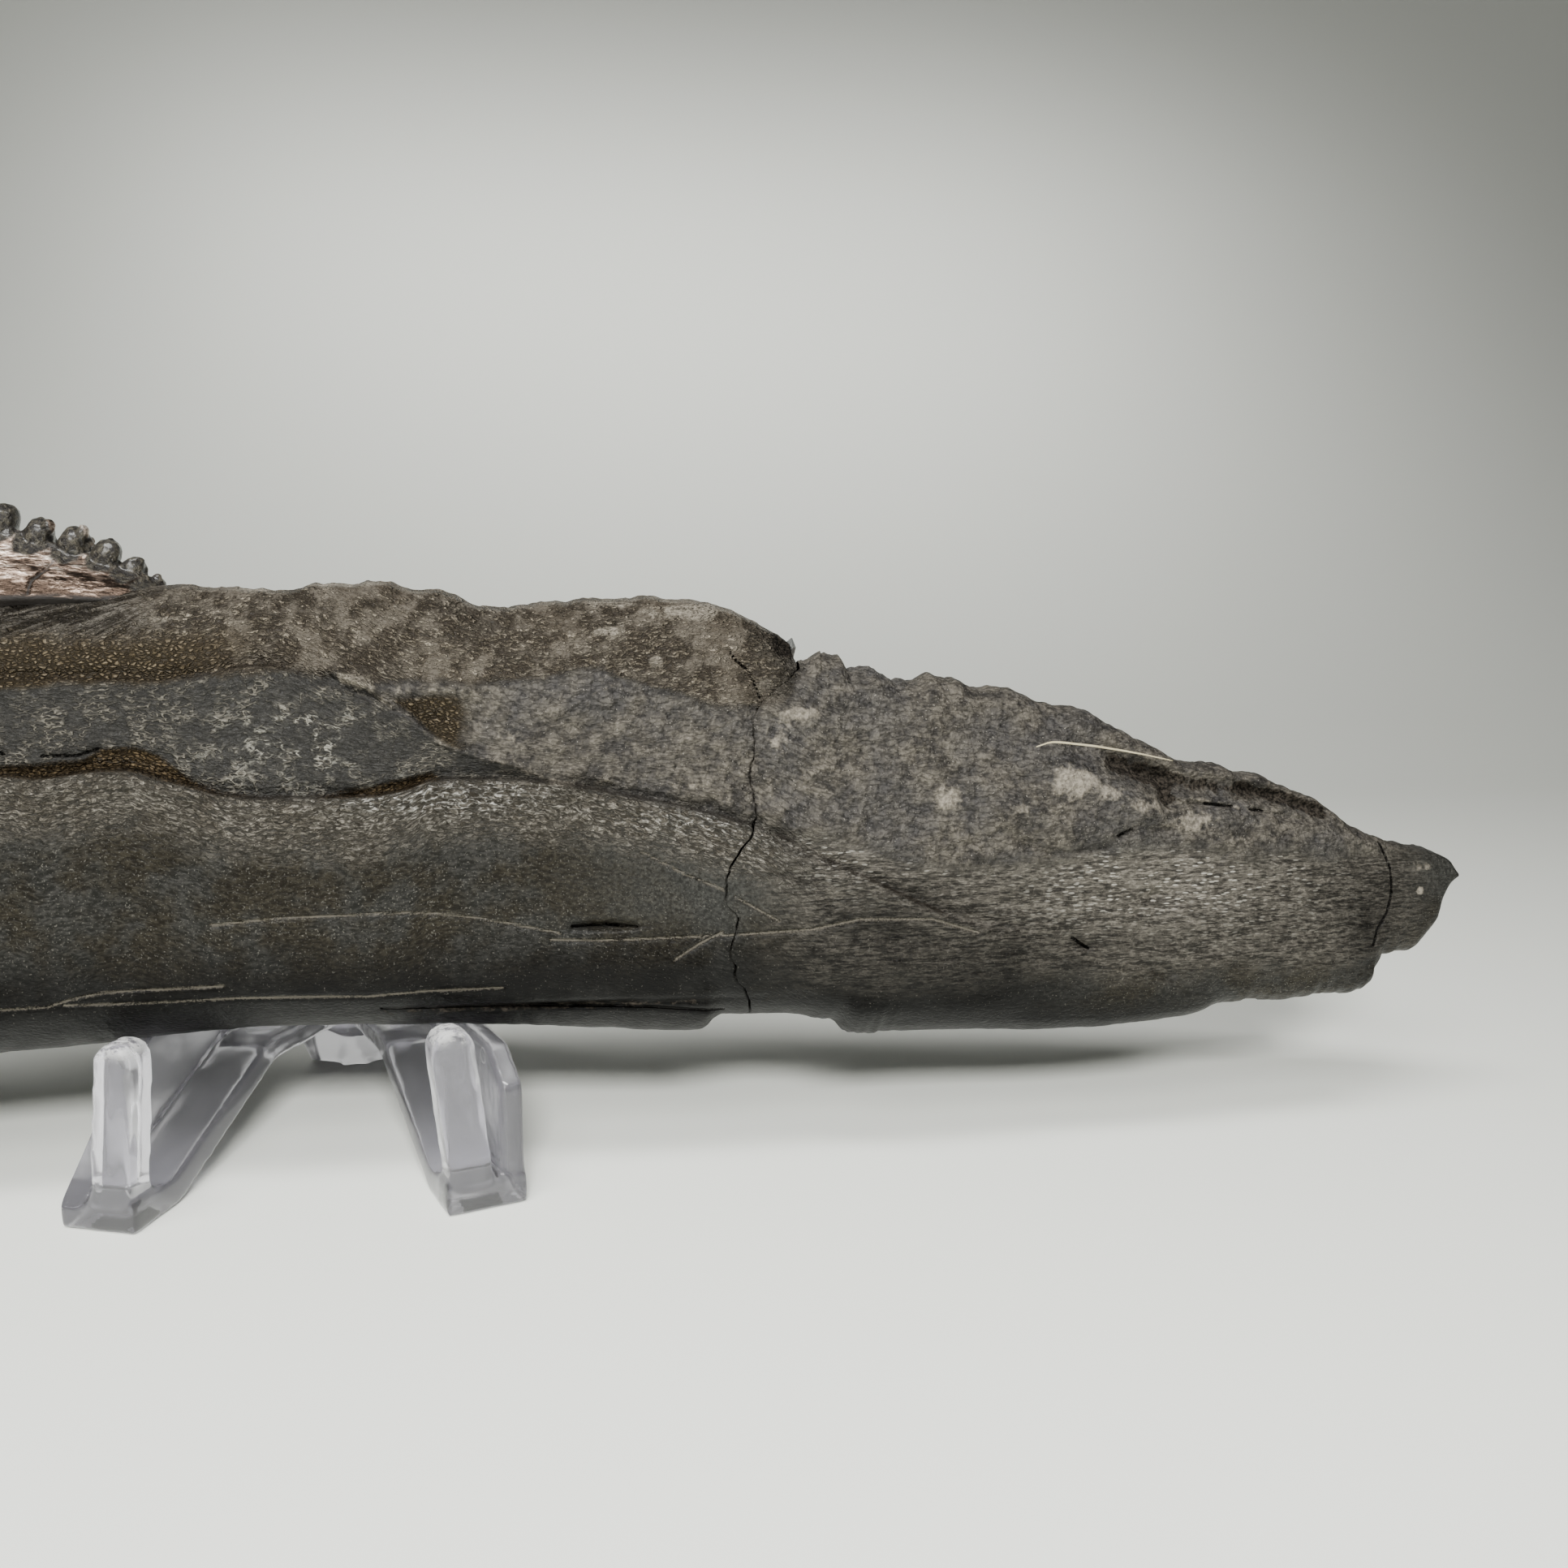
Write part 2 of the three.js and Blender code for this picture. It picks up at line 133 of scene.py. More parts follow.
# Lumps and hollows of the flank in front and of the one behind: x, h, reach along x, reach along h, rise
FRONT_LUMPS = [
    (36, 39, 17, 7, 0.8), (58.5, 36.5, 4, 3, 0.6), (90, 26, 9, 6.5, 2), (64.5, 0.5, 4.5, 2.4, 1.1),
    (36, 8, 26, 2.6, 0.5), (102, 13.5, 2.4, 2.4, -0.8), (126, 12, 6, 8, -0.7),
]
BACK_LUMPS = [(30, 36, 16, 8, 0.8), (86, 24, 12, 7, 1.2), (-20, 16, 26, 6, 0.4)]
# Smaller forms that only the eye needs, in the same order
FRONT_DETAIL = [
    (57.2, 45.3, 1.2, 1.5, -2.6), (-20, 29.5, 12, 1.6, 0.35), (16.8, 36.2, 2.6, 2.2, -1),
    (7.4, 41.2, 1.8, 0.9, 0.4), (36.3, 46.6, 2.6, 1, 0.35), (41.8, 42.9, 1.1, 1.2, 0.3),
    (26, 34.8, 3.4, 1.7, 0.4), (35.3, 39.7, 2.6, 1.4, 0.35), (76.2, 26.2, 2.6, 1.8, 0.5),
    (56, 33.6, 2.4, 2.2, 0.5), (35, 12.8, 3.6, 0.5, -1.1), (30, 3.6, 17, 0.45, -1.0),
    (101.8, 13.9, 1.1, 0.8, -0.7), (102, 5, 1.3, 0.8, -0.7), (92, 8.2, 1.6, 0.5, -0.6),
    (98, 26.5, 3, 4.5, 0.9), (83, 24, 3.2, 3, 0.7), (71, 33, 5, 3.4, 0.4), (137.5, 12, 5, 5, 0.4),
    (94, 22.5, 6, 1.6, 0.5), (101, 23.6, 4, 1.3, 0.5), (103.5, 4.2, 1.2, 0.9, -0.9),
]
# Dark trough of the front piece, the notch that ends it at the lump, and the deeper strip in its floor
TROUGH = [(93, 32.4), (97, 30.6), (101, 29), (106, 27.6), (112, 26.6), (119, 25.2), (125, 23.4)]
TROUGH_NOTCH = [(97.6, 30), (100.5, 29), (103.8, 28), (104, 25.8)]
TROUGH_STRIP = [(114, 27.2), (119.4, 25.7), (125, 23.4)]
# How far and how strongly each of them is darkened, partly dark rock and partly painted shade in the recess
DARK_RUNS = [(TROUGH[2:], 0.9, 0.75), (TROUGH_NOTCH, 1.2, 1.3), (TROUGH_STRIP, 0.7, 0.8)]
# Long forms of the flank in front, each a run of x, h points with the reach to both sides and the rise
FRONT_RUNS = [
    (TROUGH, 1.5, -1.8), (TROUGH_NOTCH, 1.3, -1.5), (TROUGH_STRIP, 0.7, -0.8),
    ([(100, 33), (106, 30), (113, 28.6), (121, 26), (126, 23.6)], 1.1, 0.9),
    ([(90.9, 29.4), (94.3, 27), (97.3, 25.6), (100.9, 24.2)], 1.4, 0.7),
    ([(82, 22.6), (85.3, 20.6), (88.1, 19.6), (91.6, 19.6), (95.7, 20), (97.1, 21.3), (98.8, 22.1),
      (104.4, 21.9)], 0.45, -0.6),
    ([(107, 25.1), (112.6, 24.3), (116.8, 23.6), (123, 22.3)], 0.4, -0.7),
    ([(130, 3.4), (133.6, 5.2)], 1, -0.8),
]
# Low ridges dusted with pale rock, in the same order
PALE_RIDGES = [
    ([(104.3, 26.2), (107.4, 25.6), (110.5, 24.9), (114.9, 23.9)], 0.5, 0.7),
    ([(5.4, 42.3), (8.9, 40.6), (13.1, 37.2), (15.9, 34.7), (20.4, 32.7), (25.8, 31), (32.1, 28.5)],
     0.7, 0.55),
    ([(9, 40.6), (14, 39.9), (20, 39.9)], 0.8, 0.35),
]
RIDGE_DUST_REACH = 0.55
# Hair cracks of the flank in front, runs of x, h points. Pale ones hold rock flour, dark ones are open.
PALE_CRACKS = [
    [(-8, 14.4), (-1.2, 14.9), (6, 15), (13, 15.1), (18, 14.7), (23.7, 13.6), (30, 12.1)],
    [(29, 11.4), (36.5, 11.1), (49.5, 11.2), (59, 11.5), (64.7, 12.5), (73.4, 12.2), (79, 10.4)],
    [(-34, 6), (-30.7, 5.8), (-25.7, 5.9), (-23, 6.7), (-19.7, 7.3), (-13.7, 7.4), (-7, 7.5)],
    [(-24, 6), (-13.7, 5.9), (-5, 6), (3.7, 5.8), (8.2, 5.6), (14.4, 6), (23.5, 6)],
    [(39.5, 21.1), (44, 18.6), (49.1, 16.3)], [(50.1, 15.6), (55.2, 12.6)],
    [(43, 8.6), (46, 10.4), (48.6, 11.6)],
]
DARK_CRACKS = [
    [(31.4, 12.8), (35.1, 12.9), (38.8, 12.5)],
    [(9.7, 4), (17.9, 3.8), (23.4, 3.7), (30.7, 3.4), (40.1, 3), (49, 2)],
    [(50.4, 44.4), (51, 43.2), (52.6, 41.8), (53.9, 38.6)],
    [(-36, 34.9), (-32, 34.4), (-29.6, 33.7)], [(-25.6, 33.4), (-22, 33.4), (-19.8, 34.1)],
    [(133.2, 19.3), (134.3, 16), (134.1, 12.9), (133.3, 10.4), (131.9, 8.4), (131.3, 6.4)],
    [(91, 9.2), (93, 7.8)], [(97.1, 21.3), (98.8, 22.1)], [(109, 24.9), (112.6, 24.4)],
    [(115, 24), (116.8, 23.7)],
]
# Patches of pale rock: x, h, reach along x, reach along h, strength
PALE_PATCHES = [
    (46, 49.2, 7, 1.5, 1), (36, 50.2, 4, 0.7, 0.8), (7.4, 41.3, 2, 0.8, 1), (36.3, 46.6, 2.2, 0.7, 1.3),
    (41.8, 42.9, 1, 1.1, 1.1), (26, 34.8, 3.4, 1.6, 0.7), (35.3, 39.7, 2.8, 1.2, 0.6),
    (58.6, 36.6, 3, 1, 1), (55.8, 33.8, 1.8, 2, 0.8), (76.2, 26.4, 2, 1.8, 1.15),
    (90.5, 27.6, 2.6, 3, 0.9), (84.5, 25, 1.4, 0.9, 0.9), (-13, 48.6, 2.4, 0.5, 0.9),
    (97, 5.5, 3, 1.6, 0.4), (6, 52.8, 8, 0.5, 0.9), (-4, 52.2, 3, 0.4, 0.9), (92.5, 28.2, 2, 1.2, 0.9),
    (96, 26.3, 2, 1.1, 0.9), (100.5, 24.8, 2.5, 0.9, 0.9), (107, 22.8, 3.5, 1.6, 0.9),
    (138.4, 13, 0.7, 0.6, 1.3), (45, 28.5, 6, 0.5, 0.6), (34, 29.3, 5, 0.4, 0.5),
    (50, 26.6, 2.4, 0.9, 0.6), (60, 30, 2, 1.4, 0.5), (128, 17, 2.5, 1.5, 0.4), (139, 16, 2, 1, 0.5),
]
# Where the wrinkles are palest, with pale rock and painted highlights, where the bone is dimmest, and the
# dark cavity and furrow, partly dark rock and partly painted shade, likewise
BRIGHT_PLACES = [
    (1, 34.5, 9, 3.5, 1), (17, 28, 11, 1.8, 1.3), (48, 25, 9, 2, 0.8), (104, 16, 16, 5, 1.3),
    (70, 21.5, 14, 4, 1.3),
]
DIM_PLACES = [(66, 12, 8, 4, 1), (131, 9, 5, 7, 1), (118, 21, 9, 2, 0.6)]
DARK_HOLLOWS = [(57.1, 45.3, 1, 1.3, 4), (30, 3.4, 18, 0.35, 1)]
# Point from which the fibres below the front crown spread out
FAN_MIDDLE = (-8, 54)
# Rings of points of the main piece behind and in the photo's view, and rows of points of each flank below,
# between and above the two lips
HIDDEN_STATIONS, SHOWN_FROM_X, SHOWN_STATIONS = 84, -37, 326
FRONT_ROWS = (98, 38, 60)
BACK_ROWS = (20, 8, 14)
EDGE_CROWDING = 1.45
LIP_HALF_STEP = 0.2
# Distance in mm that is kept where there is no crack or lip line to be near
FAR_FROM_CRACKS = 9


def along(knots, places):
    """Value at each place on a smooth curve through (place, value) knots. It never overshoots a knot."""
    at, value = np.array(knots, float).T
    slope = np.diff(value) / np.diff(at)
    before, after = slope[:-1], slope[1:]
    same_way = before * after > 0
    steer = np.where(same_way, 2 * before * after / np.where(same_way, before + after, 1), 0)
    steer = np.concatenate([slope[:1], steer, slope[-1:]])
    places = np.clip(places, at[0], at[-1])
    i = np.clip(np.searchsorted(at, places, side="right") - 1, 0, len(slope) - 1)
    span = at[i + 1] - at[i]
    t = (places - at[i]) / span
    rise = t * t * (3 - 2 * t) * (value[i + 1] - value[i])
    return value[i] + rise + span * t * (1 - t) * ((1 - t) * steer[i] - t * steer[i + 1])


def ease(value, low, high):
    """0 below low, 1 above high, and smooth between. It falls instead where low is above high."""
    t = np.clip((value - low) / (high - low), 0, 1)
    return t * t * (3 - 2 * t)


def grain(x, y, h, seed):
    """Smooth random height between -1 and 1 at each place, with lumps about one unit across."""
    low, part = [], []
    for axis in (x, y, h):
        floor = np.floor(axis).astype(np.int64)
        share = axis - floor
        low.append(floor)
        part.append(share * share * share * (share * (share * 6 - 15) + 10))
    total = 0
    for corner in range(8):
        step = [corner & 1, corner >> 1 & 1, corner >> 2 & 1]
        mixed = seed * 374761393
        weight = 1
        for n, prime in enumerate((668265263, 2246822519, 3266489917)):
            mixed = mixed + (low[n] + step[n]) * prime
            weight = weight * (part[n] if step[n] else 1 - part[n])
        mixed = mixed & 0xFFFFFFFF
        mixed = ((mixed ^ mixed >> 15) * 2246822519) & 0xFFFFFFFF
        mixed = ((mixed ^ mixed >> 13) * 3266489917) & 0xFFFFFFFF
        mixed = mixed ^ mixed >> 16
        total = total + weight * (mixed / 0x7FFFFFFF - 1)
    return total


def rough(x, y, h, size, flat, seed, octaves=3):
    """Grain in several sizes, the largest size mm long and flat times as high as it is long."""
    total = 0
    for n in range(octaves):
        scale = 2**n / size
        total = total + grain(x * scale, y * scale, h * scale / flat, seed + n) / 2**n
    return total / 1.5


def crack_distance(x, h, cracks):
    """Distance in mm from each place to the nearest crack."""
    nearest = np.full(x.shape, 99.0)
    for crack in cracks:
        for (x0, h0), (x1, h1) in zip(crack, crack[1:]):
            dx, dh = x1 - x0, h1 - h0
            t = np.clip(((x - x0) * dx + (h - h0) * dh) / (dx * dx + dh * dh), 0, 1)
            nearest = np.minimum(nearest, np.hypot(x - x0 - t * dx, h - h0 - t * dh))
    return nearest


def near(runs, x, h, reach):
    """1 on any of the runs of points, falling to nothing within about twice that reach."""
    return np.exp(-((crack_distance(x, h, runs) / reach) ** 2))


def heaps(x, h, forms):
    """Sum of round or oval lumps and hollows."""
    total = np.zeros(x.shape)
    for at_x, at_h, reach_x, reach_h, rise in forms:
        total += rise * np.exp(-(((x - at_x) / reach_x) ** 2) - ((h - at_h) / reach_h) ** 2)
    return total


def groove_depth(x, h):
    """How deep a place lies in the groove above the youngest root's lip, from 0 to 1."""
    above, width = h - along(YOUNG_LIP, x), along(GROOVE, x)
    return ease(above, -0.1, 0.2) * ease(above - width, 0.3, -0.2) * ease(width, 0, 0.4)


def zones(x, y, h):
    """How much each kind of surface shows at each place of the jaw, from 0 to 1."""
    wander = 0.9 * rough(x, y, h, 7, 0.6, 50) + 0.35 * rough(x, y, h, 1.6, 0.7, 55, 2)
    young = along(YOUNG_LIP, x)
    upper_edge = along(OLDEST_FROM, x)
    front = y < 0
    past_middle = x - along(MIDDLE_END, h)
    pocket = ease(past_middle + 0.6 * wander, 0.5, 1.5)
    pocket = pocket * ease(x + 2.2 * wander + 0.3 * (h - 36), 21.4, 19) * front
    pocket = pocket * ease(h + 1.2 * wander, 40, 38.6) * ease(h + 0.8 * wander, 32.6, 34)
    above_young = ease(h - young + 0.3 * wander, -0.3, 0.3)
    oldest = np.maximum(ease(h - upper_edge + wander, -0.6, 0.6) * ease(x, 62, 56), pocket)
    crust = above_young * (1 - oldest) * ease(past_middle + 0.8 * wander, -0.4, 0.8)
    crust = crust * ease(x + 2 * wander, 141, 132)
    foot = young + 0.25 * np.clip(x - 53, 0, 40) - 0.12 * np.clip(x - 103, 0, 30)
    crust = crust * ease(h - foot + wander, -1, 2)
    streaked = ease(x + 3 * wander, 50, 62) * (1 - crust) * ease(h + wander, 2, 7) * ease(x, 143, 132)
    rolled = ease(young - h + 1.8 * wander, 8.5, 3) * (1 - above_young) * ease(x, 66, 52)
    trough = 0
    for run, reach, strength in DARK_RUNS:
        trough = trough + strength * near([run], x, h, reach)
    return {
        "oldest": oldest,
        "crust": crust,
        "streaked": streaked,
        "rolled": rolled,
        "middle": above_young * (1 - oldest) * (1 - crust) * ease(x, 70, 50),
        "gold": np.maximum(oldest * ease(h + 1.5 * wander, 48.5, 44.5) * ease(x, 0, -12) * front, pocket),
        "worn": ease(x + 3 * wander, -4, 16),
        "fibres": oldest * ease(h + 1.6 * wander, 45, 48) * ease(x + 3 * wander, -10, -20),
        # low: where the colour is darkened, partly for the stone's own dark olive and partly as painted shade
        # where the flank turns under
        "low": ease(h + 1.2 * wander, 14, 6) * ease(x + wander, 102, 80),
        # keel: where the colour is darkened as painted shade along the underside
        "keel": ease(h - along(KEEL, x), 6, 1.5) * ease(x, 118, 100),
        # bright: where the pale crests and dashes are strongest, partly pale rock and partly painted
        # highlights
        "bright": np.clip(heaps(x, h, BRIGHT_PLACES), 0, 1),
        "grey": ease(x + 4 * wander, 26, 44) * ease(h + wander, 10, 15),
        "dim": np.clip(heaps(x, h, DIM_PLACES), 0, 1),
        "groove": groove_depth(x, h) * front,
        "hollow": np.clip((trough + heaps(x, h, DARK_HOLLOWS)) * front, 0, 1),
    }


def flow_height(x, h):
    """Height that follows the lips of the roots, so that wrinkles drawn on it run along them."""
    young, middle = along(YOUNG_LIP, x), along(MIDDLE_LIP, x)
    between = 12 * (h - young) / np.maximum(middle - young, 2)
    flow = np.where(h < young, h - young, np.where(h < middle, between, 12 + h - middle))
    level = ease(x, 54, 66)
    return flow * (1 - level) + (h - 20) * level


def half_thickness(nominal, x, y, h, share, side):
    """Half thickness of a flank with all that stands out of it or is sunk into it; side is -1 in front."""
    half = along(HALF_THICKNESS, share)
    edge = ease(share, 0, 0.1) * ease(1 - share, 0, 0.06)
    young = along(YOUNG_LIP, nominal) - h
    middle = along(MIDDLE_LIP, nominal) - h
    ledges = ((middle, MIDDLE_LEDGE, MIDDLE_LEDGE_ENDS), (young, YOUNG_LEDGE, YOUNG_LEDGE_ENDS))
    for depth, ledge, ends in ledges:
        left = ease(nominal, ends[1], ends[0]) * edge
        half += ledge * left * ease(depth, -LIP_HALF_STEP, LIP_HALF_STEP)
        half += 0.3 * left * np.exp(-(((depth - 1.2) / 1.1) ** 2))
        half -= 0.35 * left * np.exp(-(((depth + 0.7) / 0.6) ** 2))
    half += edge * heaps(x, h, FRONT_LUMPS if side < 0 else BACK_LUMPS)
    half += edge * heaps(x, h, FRONT_DETAIL if side < 0 else [])
    half -= GROOVE_DEPTH * edge * groove_depth(x, h)
    zone = zones(x, y, h)
    lumpy = 0.12 + 0.55 * zone["crust"] + 0.3 * zone["hollow"] + 0.25 * ease(x, 96, 112)
    half += edge * lumpy * rough(x, y, h, 5, 0.7, 11, 4)
    wrinkled = 0.05 + 0.12 * np.maximum(zone["oldest"], np.maximum(zone["middle"], zone["rolled"]))
    wrinkled += 0.1 * zone["streaked"] + 0.05 * zone["crust"]
    half += edge * wrinkled * rough(x, y, h, 1.9, 0.5, 21, 2)
    half += edge * 0.3 * zone["fibres"] * rough(x - 2.4 * h, y, h + 0.35 * x, 6, 0.12, 31, 2)
    if side < 0:
        half -= edge * PALE_CRACK_DEPTH * ease(crack_distance(x, h, PALE_CRACKS), *PALE_CRACK_REACH)
        half -= edge * DARK_CRACK_DEPTH * ease(crack_distance(x, h, DARK_CRACKS), *DARK_CRACK_REACH)
        for run, reach, rise in FRONT_RUNS + PALE_RIDGES:
            half += edge * rise * near([run], x, h, reach)
    return half * along(THICKNESS_SCALE, nominal)


def keel_line(x):
    """Height of the keel, ragged where it is broken or holds a clot of rock."""
    ragged = 0.1 + 0.5 * ease(x, 104, 116) + 0.9 * np.exp(-(((x - 64.5) / 4) ** 2))
    return along(KEEL, x) + ragged * rough(x, 0 * x, 0 * x, 3, 1, 91, 4)


def top_line(x):
    """Height of the top edge, ragged from the crown on."""
    ragged = (0.7 + 0.7 * ease(x, 55, 60) * ease(x, 86, 74)) * ease(x, -15, -8) * ease(x, 143, 139)
    return along(TOP_EDGE, x) + ragged * rough(x, 0 * x, 0 * x, 4.5, 1, 95, 5)


def rows(nominal, counts):
    """Heights of a flank's rows of points at each station, closest at the keel, the lips and the top."""
    keel, top = keel_line(nominal), top_line(nominal)
    least = 0.12 * (top - keel)
    middle = np.clip(along(MIDDLE_LIP, nominal), keel + 3 * least, top - least)
    young = np.clip(along(YOUNG_LIP, nominal), keel + least, middle - least)
    step = np.minimum(LIP_HALF_STEP, least / 3)
    stretches = ((keel, young - step), (young + step, middle - step), (middle + step, top))
    heights = []
    for n, (low, high) in enumerate(stretches):
        share = np.linspace(0, 1, counts[n] + (n != 1))
        if n == 0:
            share = share[1:] ** EDGE_CROWDING
        if n == 2:
            share = 1 - (1 - share[:-1]) ** EDGE_CROWDING
        heights.extend(low + (high - low) * t for t in share)
    return np.array(heights).T


def jaw_rings(stations, gap_side):
    """Rings of points round the jaw at each station: keel, front flank up, top edge, back flank down."""
    keel, top = keel_line(stations)[:, None], top_line(stations)[:, None]
    near_break = np.clip(1 - np.abs(stations - BREAK_X) / BREAK_REACH, 0, 1)[:, None]
    gap = np.where(stations == BREAK_X, gap_side * BREAK_GAP / 2, 0)[:, None]
    nominal = stations[:, None]

    def place(h):
        wandered = along(BREAK, h) - BREAK_X + BREAK_WANDER * rough(h, 0 * h, 0 * h, 3, 1, 71, 4)
        return nominal + wandered * near_break + gap

    ring = [np.stack([place(keel), 0 * keel, keel], -1)]
    for side, counts in ((-1, FRONT_ROWS), (1, BACK_ROWS)):
        h = rows(stations, counts)
        share = (h - keel) / (top - keel)
        x = place(h)
        rim = 1.2 * ease(share, 0.9, 1) * rough(x, 0 * x, 0 * x + side, 4, 1, 81, 4) * ease(x, -16, -8)
        y = side * half_thickness(nominal + 0 * h, x, side * 8 + 0 * h, h, share, side)
        flank = np.stack([x, y, h + 0.35 * rim], -1)
        ring.append(flank if side < 0 else flank[:, ::-1])
        if side < 0:
            ring.append(np.stack([place(top), 0 * top, top], -1))
    return np.concatenate(ring, axis=1)


def in_frame(points):
    """Points of the jaw's plane, in mm, as metres in the frame."""
    x, y, h = np.asarray(points, float).reshape(-1, 3).T / 1000
    return np.stack([
        FEET.x + x,
        FEET.y + KEEL_Y / 1000 + y * math.cos(LEAN) + h * math.sin(LEAN),
        FEET.z + KEEL_Z / 1000 - y * math.sin(LEAN) + h * math.cos(LEAN),
    ], -1)


def make_piece(name, vertices, faces, measures=None, smooth=True):
    """Mesh object that rides on the jaw's body. measures are numbers or vectors kept at each vertex."""
    mesh = bpy.data.meshes.new(name)
    mesh.from_pydata(vertices.tolist(), [], faces)
    mesh.update()
    mesh.shade_smooth() if smooth else mesh.shade_flat()
    for key, value in (measures or {}).items():
        kind = "FLOAT_VECTOR" if value.ndim == 2 else "FLOAT"
        layer = mesh.attributes.new(key, kind, "POINT")
        layer.data.foreach_set("vector" if value.ndim == 2 else "value", value.astype(np.float32).ravel())
    piece = bpy.data.objects.new(name, mesh)
    bpy.context.scene.collection.objects.link(piece)
    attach(piece, "root")
    return piece


def ring_faces(count, size):
    """Faces through count rings of size points, with a fan from a middle point across each end."""
    faces = []
    for i in range(count - 1):
        for j in range(size):
            a, b = i * size + j, i * size + (j + 1) % size
            faces.append((a, a + size, b + size, b))
    last = (count - 1) * size
    for j in range(size):
        faces.append((count * size, j, (j + 1) % size))
        faces.append((count * size + 1, last + (j + 1) % size, last + j))
    return faces


def jaw_piece(name, stations, gap_side):
    """One piece of the jaw, with the numbers at each point that its stone needs."""
    rings = jaw_rings(stations, gap_side)
    count, size = rings.shape[:2]
    points = np.concatenate([rings.reshape(-1, 3), rings[[0, -1]].mean(axis=1)])
    x, y, h = points.T
    measures = zones(x, y, h)
    front = y < 0.3
    measures["flank"] = points
    measures["flow"] = np.stack([x, y, flow_height(x, h)], -1)
    measures["pale_crack"] = np.where(front, crack_distance(x, h, PALE_CRACKS), FAR_FROM_CRACKS)
    measures["dark_crack"] = np.where(front, crack_distance(x, h, DARK_CRACKS), FAR_FROM_CRACKS)
    dust = 0.55 * near([run for run, _, _ in PALE_RIDGES], x, h, RIDGE_DUST_REACH)
    measures["pale_patch"] = np.clip(heaps(x, h, PALE_PATCHES) + dust, 0, 1.3) * ease(y, 1, -1)
    left, below = FAN_MIDDLE[0] - x, FAN_MIDDLE[1] - h
    measures["fan"] = np.stack([0.16 * np.hypot(left, below), 0.4 * y, 34 * np.arctan2(below, left)], -1)
    for lip, knots, fades in (("young_lip", YOUNG_LIP, (74, 90)), ("middle_lip", MIDDLE_LIP, (2, 8))):
        away = np.abs(h - along(knots, x) - LIP_HALF_STEP)
        measures[lip] = away + FAR_FROM_CRACKS * ease(x, *fades)
    return make_piece(name, in_frame(points), ring_faces(count, size), measures)


class Field:
    """A number or colour that changes over a surface. Arithmetic on it adds Math nodes to its material."""

    def __init__(self, surface, socket):
        self.surface, self.socket = surface, socket

    def math(self, operation, *values):
        return self.surface.node("ShaderNodeMath", {"operation": operation}, dict(enumerate(values)))

    def __add__(self, other):
        return self.math("ADD", self, other)

    def __sub__(self, other):
        return self.math("SUBTRACT", self, other)

    def __rsub__(self, other):
        return self.math("SUBTRACT", other, self)

    def __mul__(self, other):
        return self.math("MULTIPLY", self, other)

    def __abs__(self):
        return self.math("ABSOLUTE", self)

    __radd__, __rmul__ = __add__, __mul__

    def least(self, other):
        return self.math("MINIMUM", self, other)

    def most(self, other):
        return self.math("MAXIMUM", self, other)

    def eased(self, low, high):
        """0 at low, 1 at high, and smooth between."""
        sockets = {"Value": self, "From Min": low, "From Max": high}
        return self.surface.node("ShaderNodeMapRange", {"interpolation_type": "SMOOTHSTEP"}, sockets)


class Surface:
    """A procedural material and the steps that build it."""

    def __init__(self, name):
        self.material = bpy.data.materials.new(name)
        self.material.use_nodes = True
        self.tree = self.material.node_tree
        self.shader = self.tree.nodes["Principled BSDF"]

    def feed(self, socket, value):
        if isinstance(value, Field):
            self.tree.links.new(value.socket, socket)
        else:
            socket.default_value = value

    def node(self, kind, settings, sockets, output=0):
        node = self.tree.nodes.new(kind)
        for key, value in settings.items():
            setattr(node, key, value)
        for key, value in sockets.items():
            self.feed(node.inputs[key], value)
        return Field(self, node.outputs[output])

    def measure(self, name, output="Fac"):
        return self.node("ShaderNodeAttribute", {"attribute_name": name}, {}, output)

    def vector(self, operation, *values):
        return self.node("ShaderNodeVectorMath", {"operation": operation}, dict(enumerate(values)))

    def stretch(self, place, by):
        return self.vector("MULTIPLY", place, by)

    def noise(self, place, scale, detail=2, roughness=0.5, output="Fac"):
        """Smooth noise, with scale a number or one number for each axis."""
        if isinstance(scale, tuple):
            place, scale = self.stretch(place, scale), 1
        sockets = {"Vector": place, "Scale": scale, "Detail": detail, "Roughness": roughness}
        return self.node("ShaderNodeTexNoise", {}, sockets, output)

    def worms(self, place, scale, detail, none, full):
        """Winding lines: 0 where noise is none away from its middle value, 1 where it is full away."""
        return abs(self.noise(place, scale, detail) - 0.5).eased(none, full)

    def bend(self, place, scale, reach):
        """Place moved up to reach by smooth noise, so that straight patterns on it run in waves."""
        drift = self.vector("SUBTRACT", self.noise(place, scale, 2, 0.5, "Color"), (0.5, 0.5, 0.5))
        return self.vector("MULTIPLY_ADD", drift, (reach,) * 3, place)

    def cells(self, place, feature="F1", output="Distance"):
        """Pattern of cells about one unit across."""
        sockets = {"Vector": place, "Scale": 1}
        return self.node("ShaderNodeTexVoronoi", {"feature": feature}, sockets, output)

    def blend(self, share, first, second):
        """Colour first where share is 0 and second where it is 1."""
        first, second = ((*c, 1) if isinstance(c, tuple) else c for c in (first, second))
        return self.node("ShaderNodeMix", {"data_type": "RGBA"}, {0: share, 6: first, 7: second}, 2)

    def shade(self, colour, light):
        """Colour times a number."""
        return self.node("ShaderNodeVectorMath", {"operation": "SCALE"}, {0: colour, "Scale": light})

    def raised(self, height, depth):
        """Normal of a surface that height, from 0 to 1, lifts by up to depth metres."""
        return self.node("ShaderNodeBump", {}, {"Height": height, "Distance": depth, "Strength": 1})

    def finish(self, **sockets):
        """Feed the shader's sockets, named in lower case with underscores, and return the material."""
        for key, value in sockets.items():
            self.feed(self.shader.inputs[key.replace("_", " ").title().replace("Ior", "IOR")], value)
        return self.material


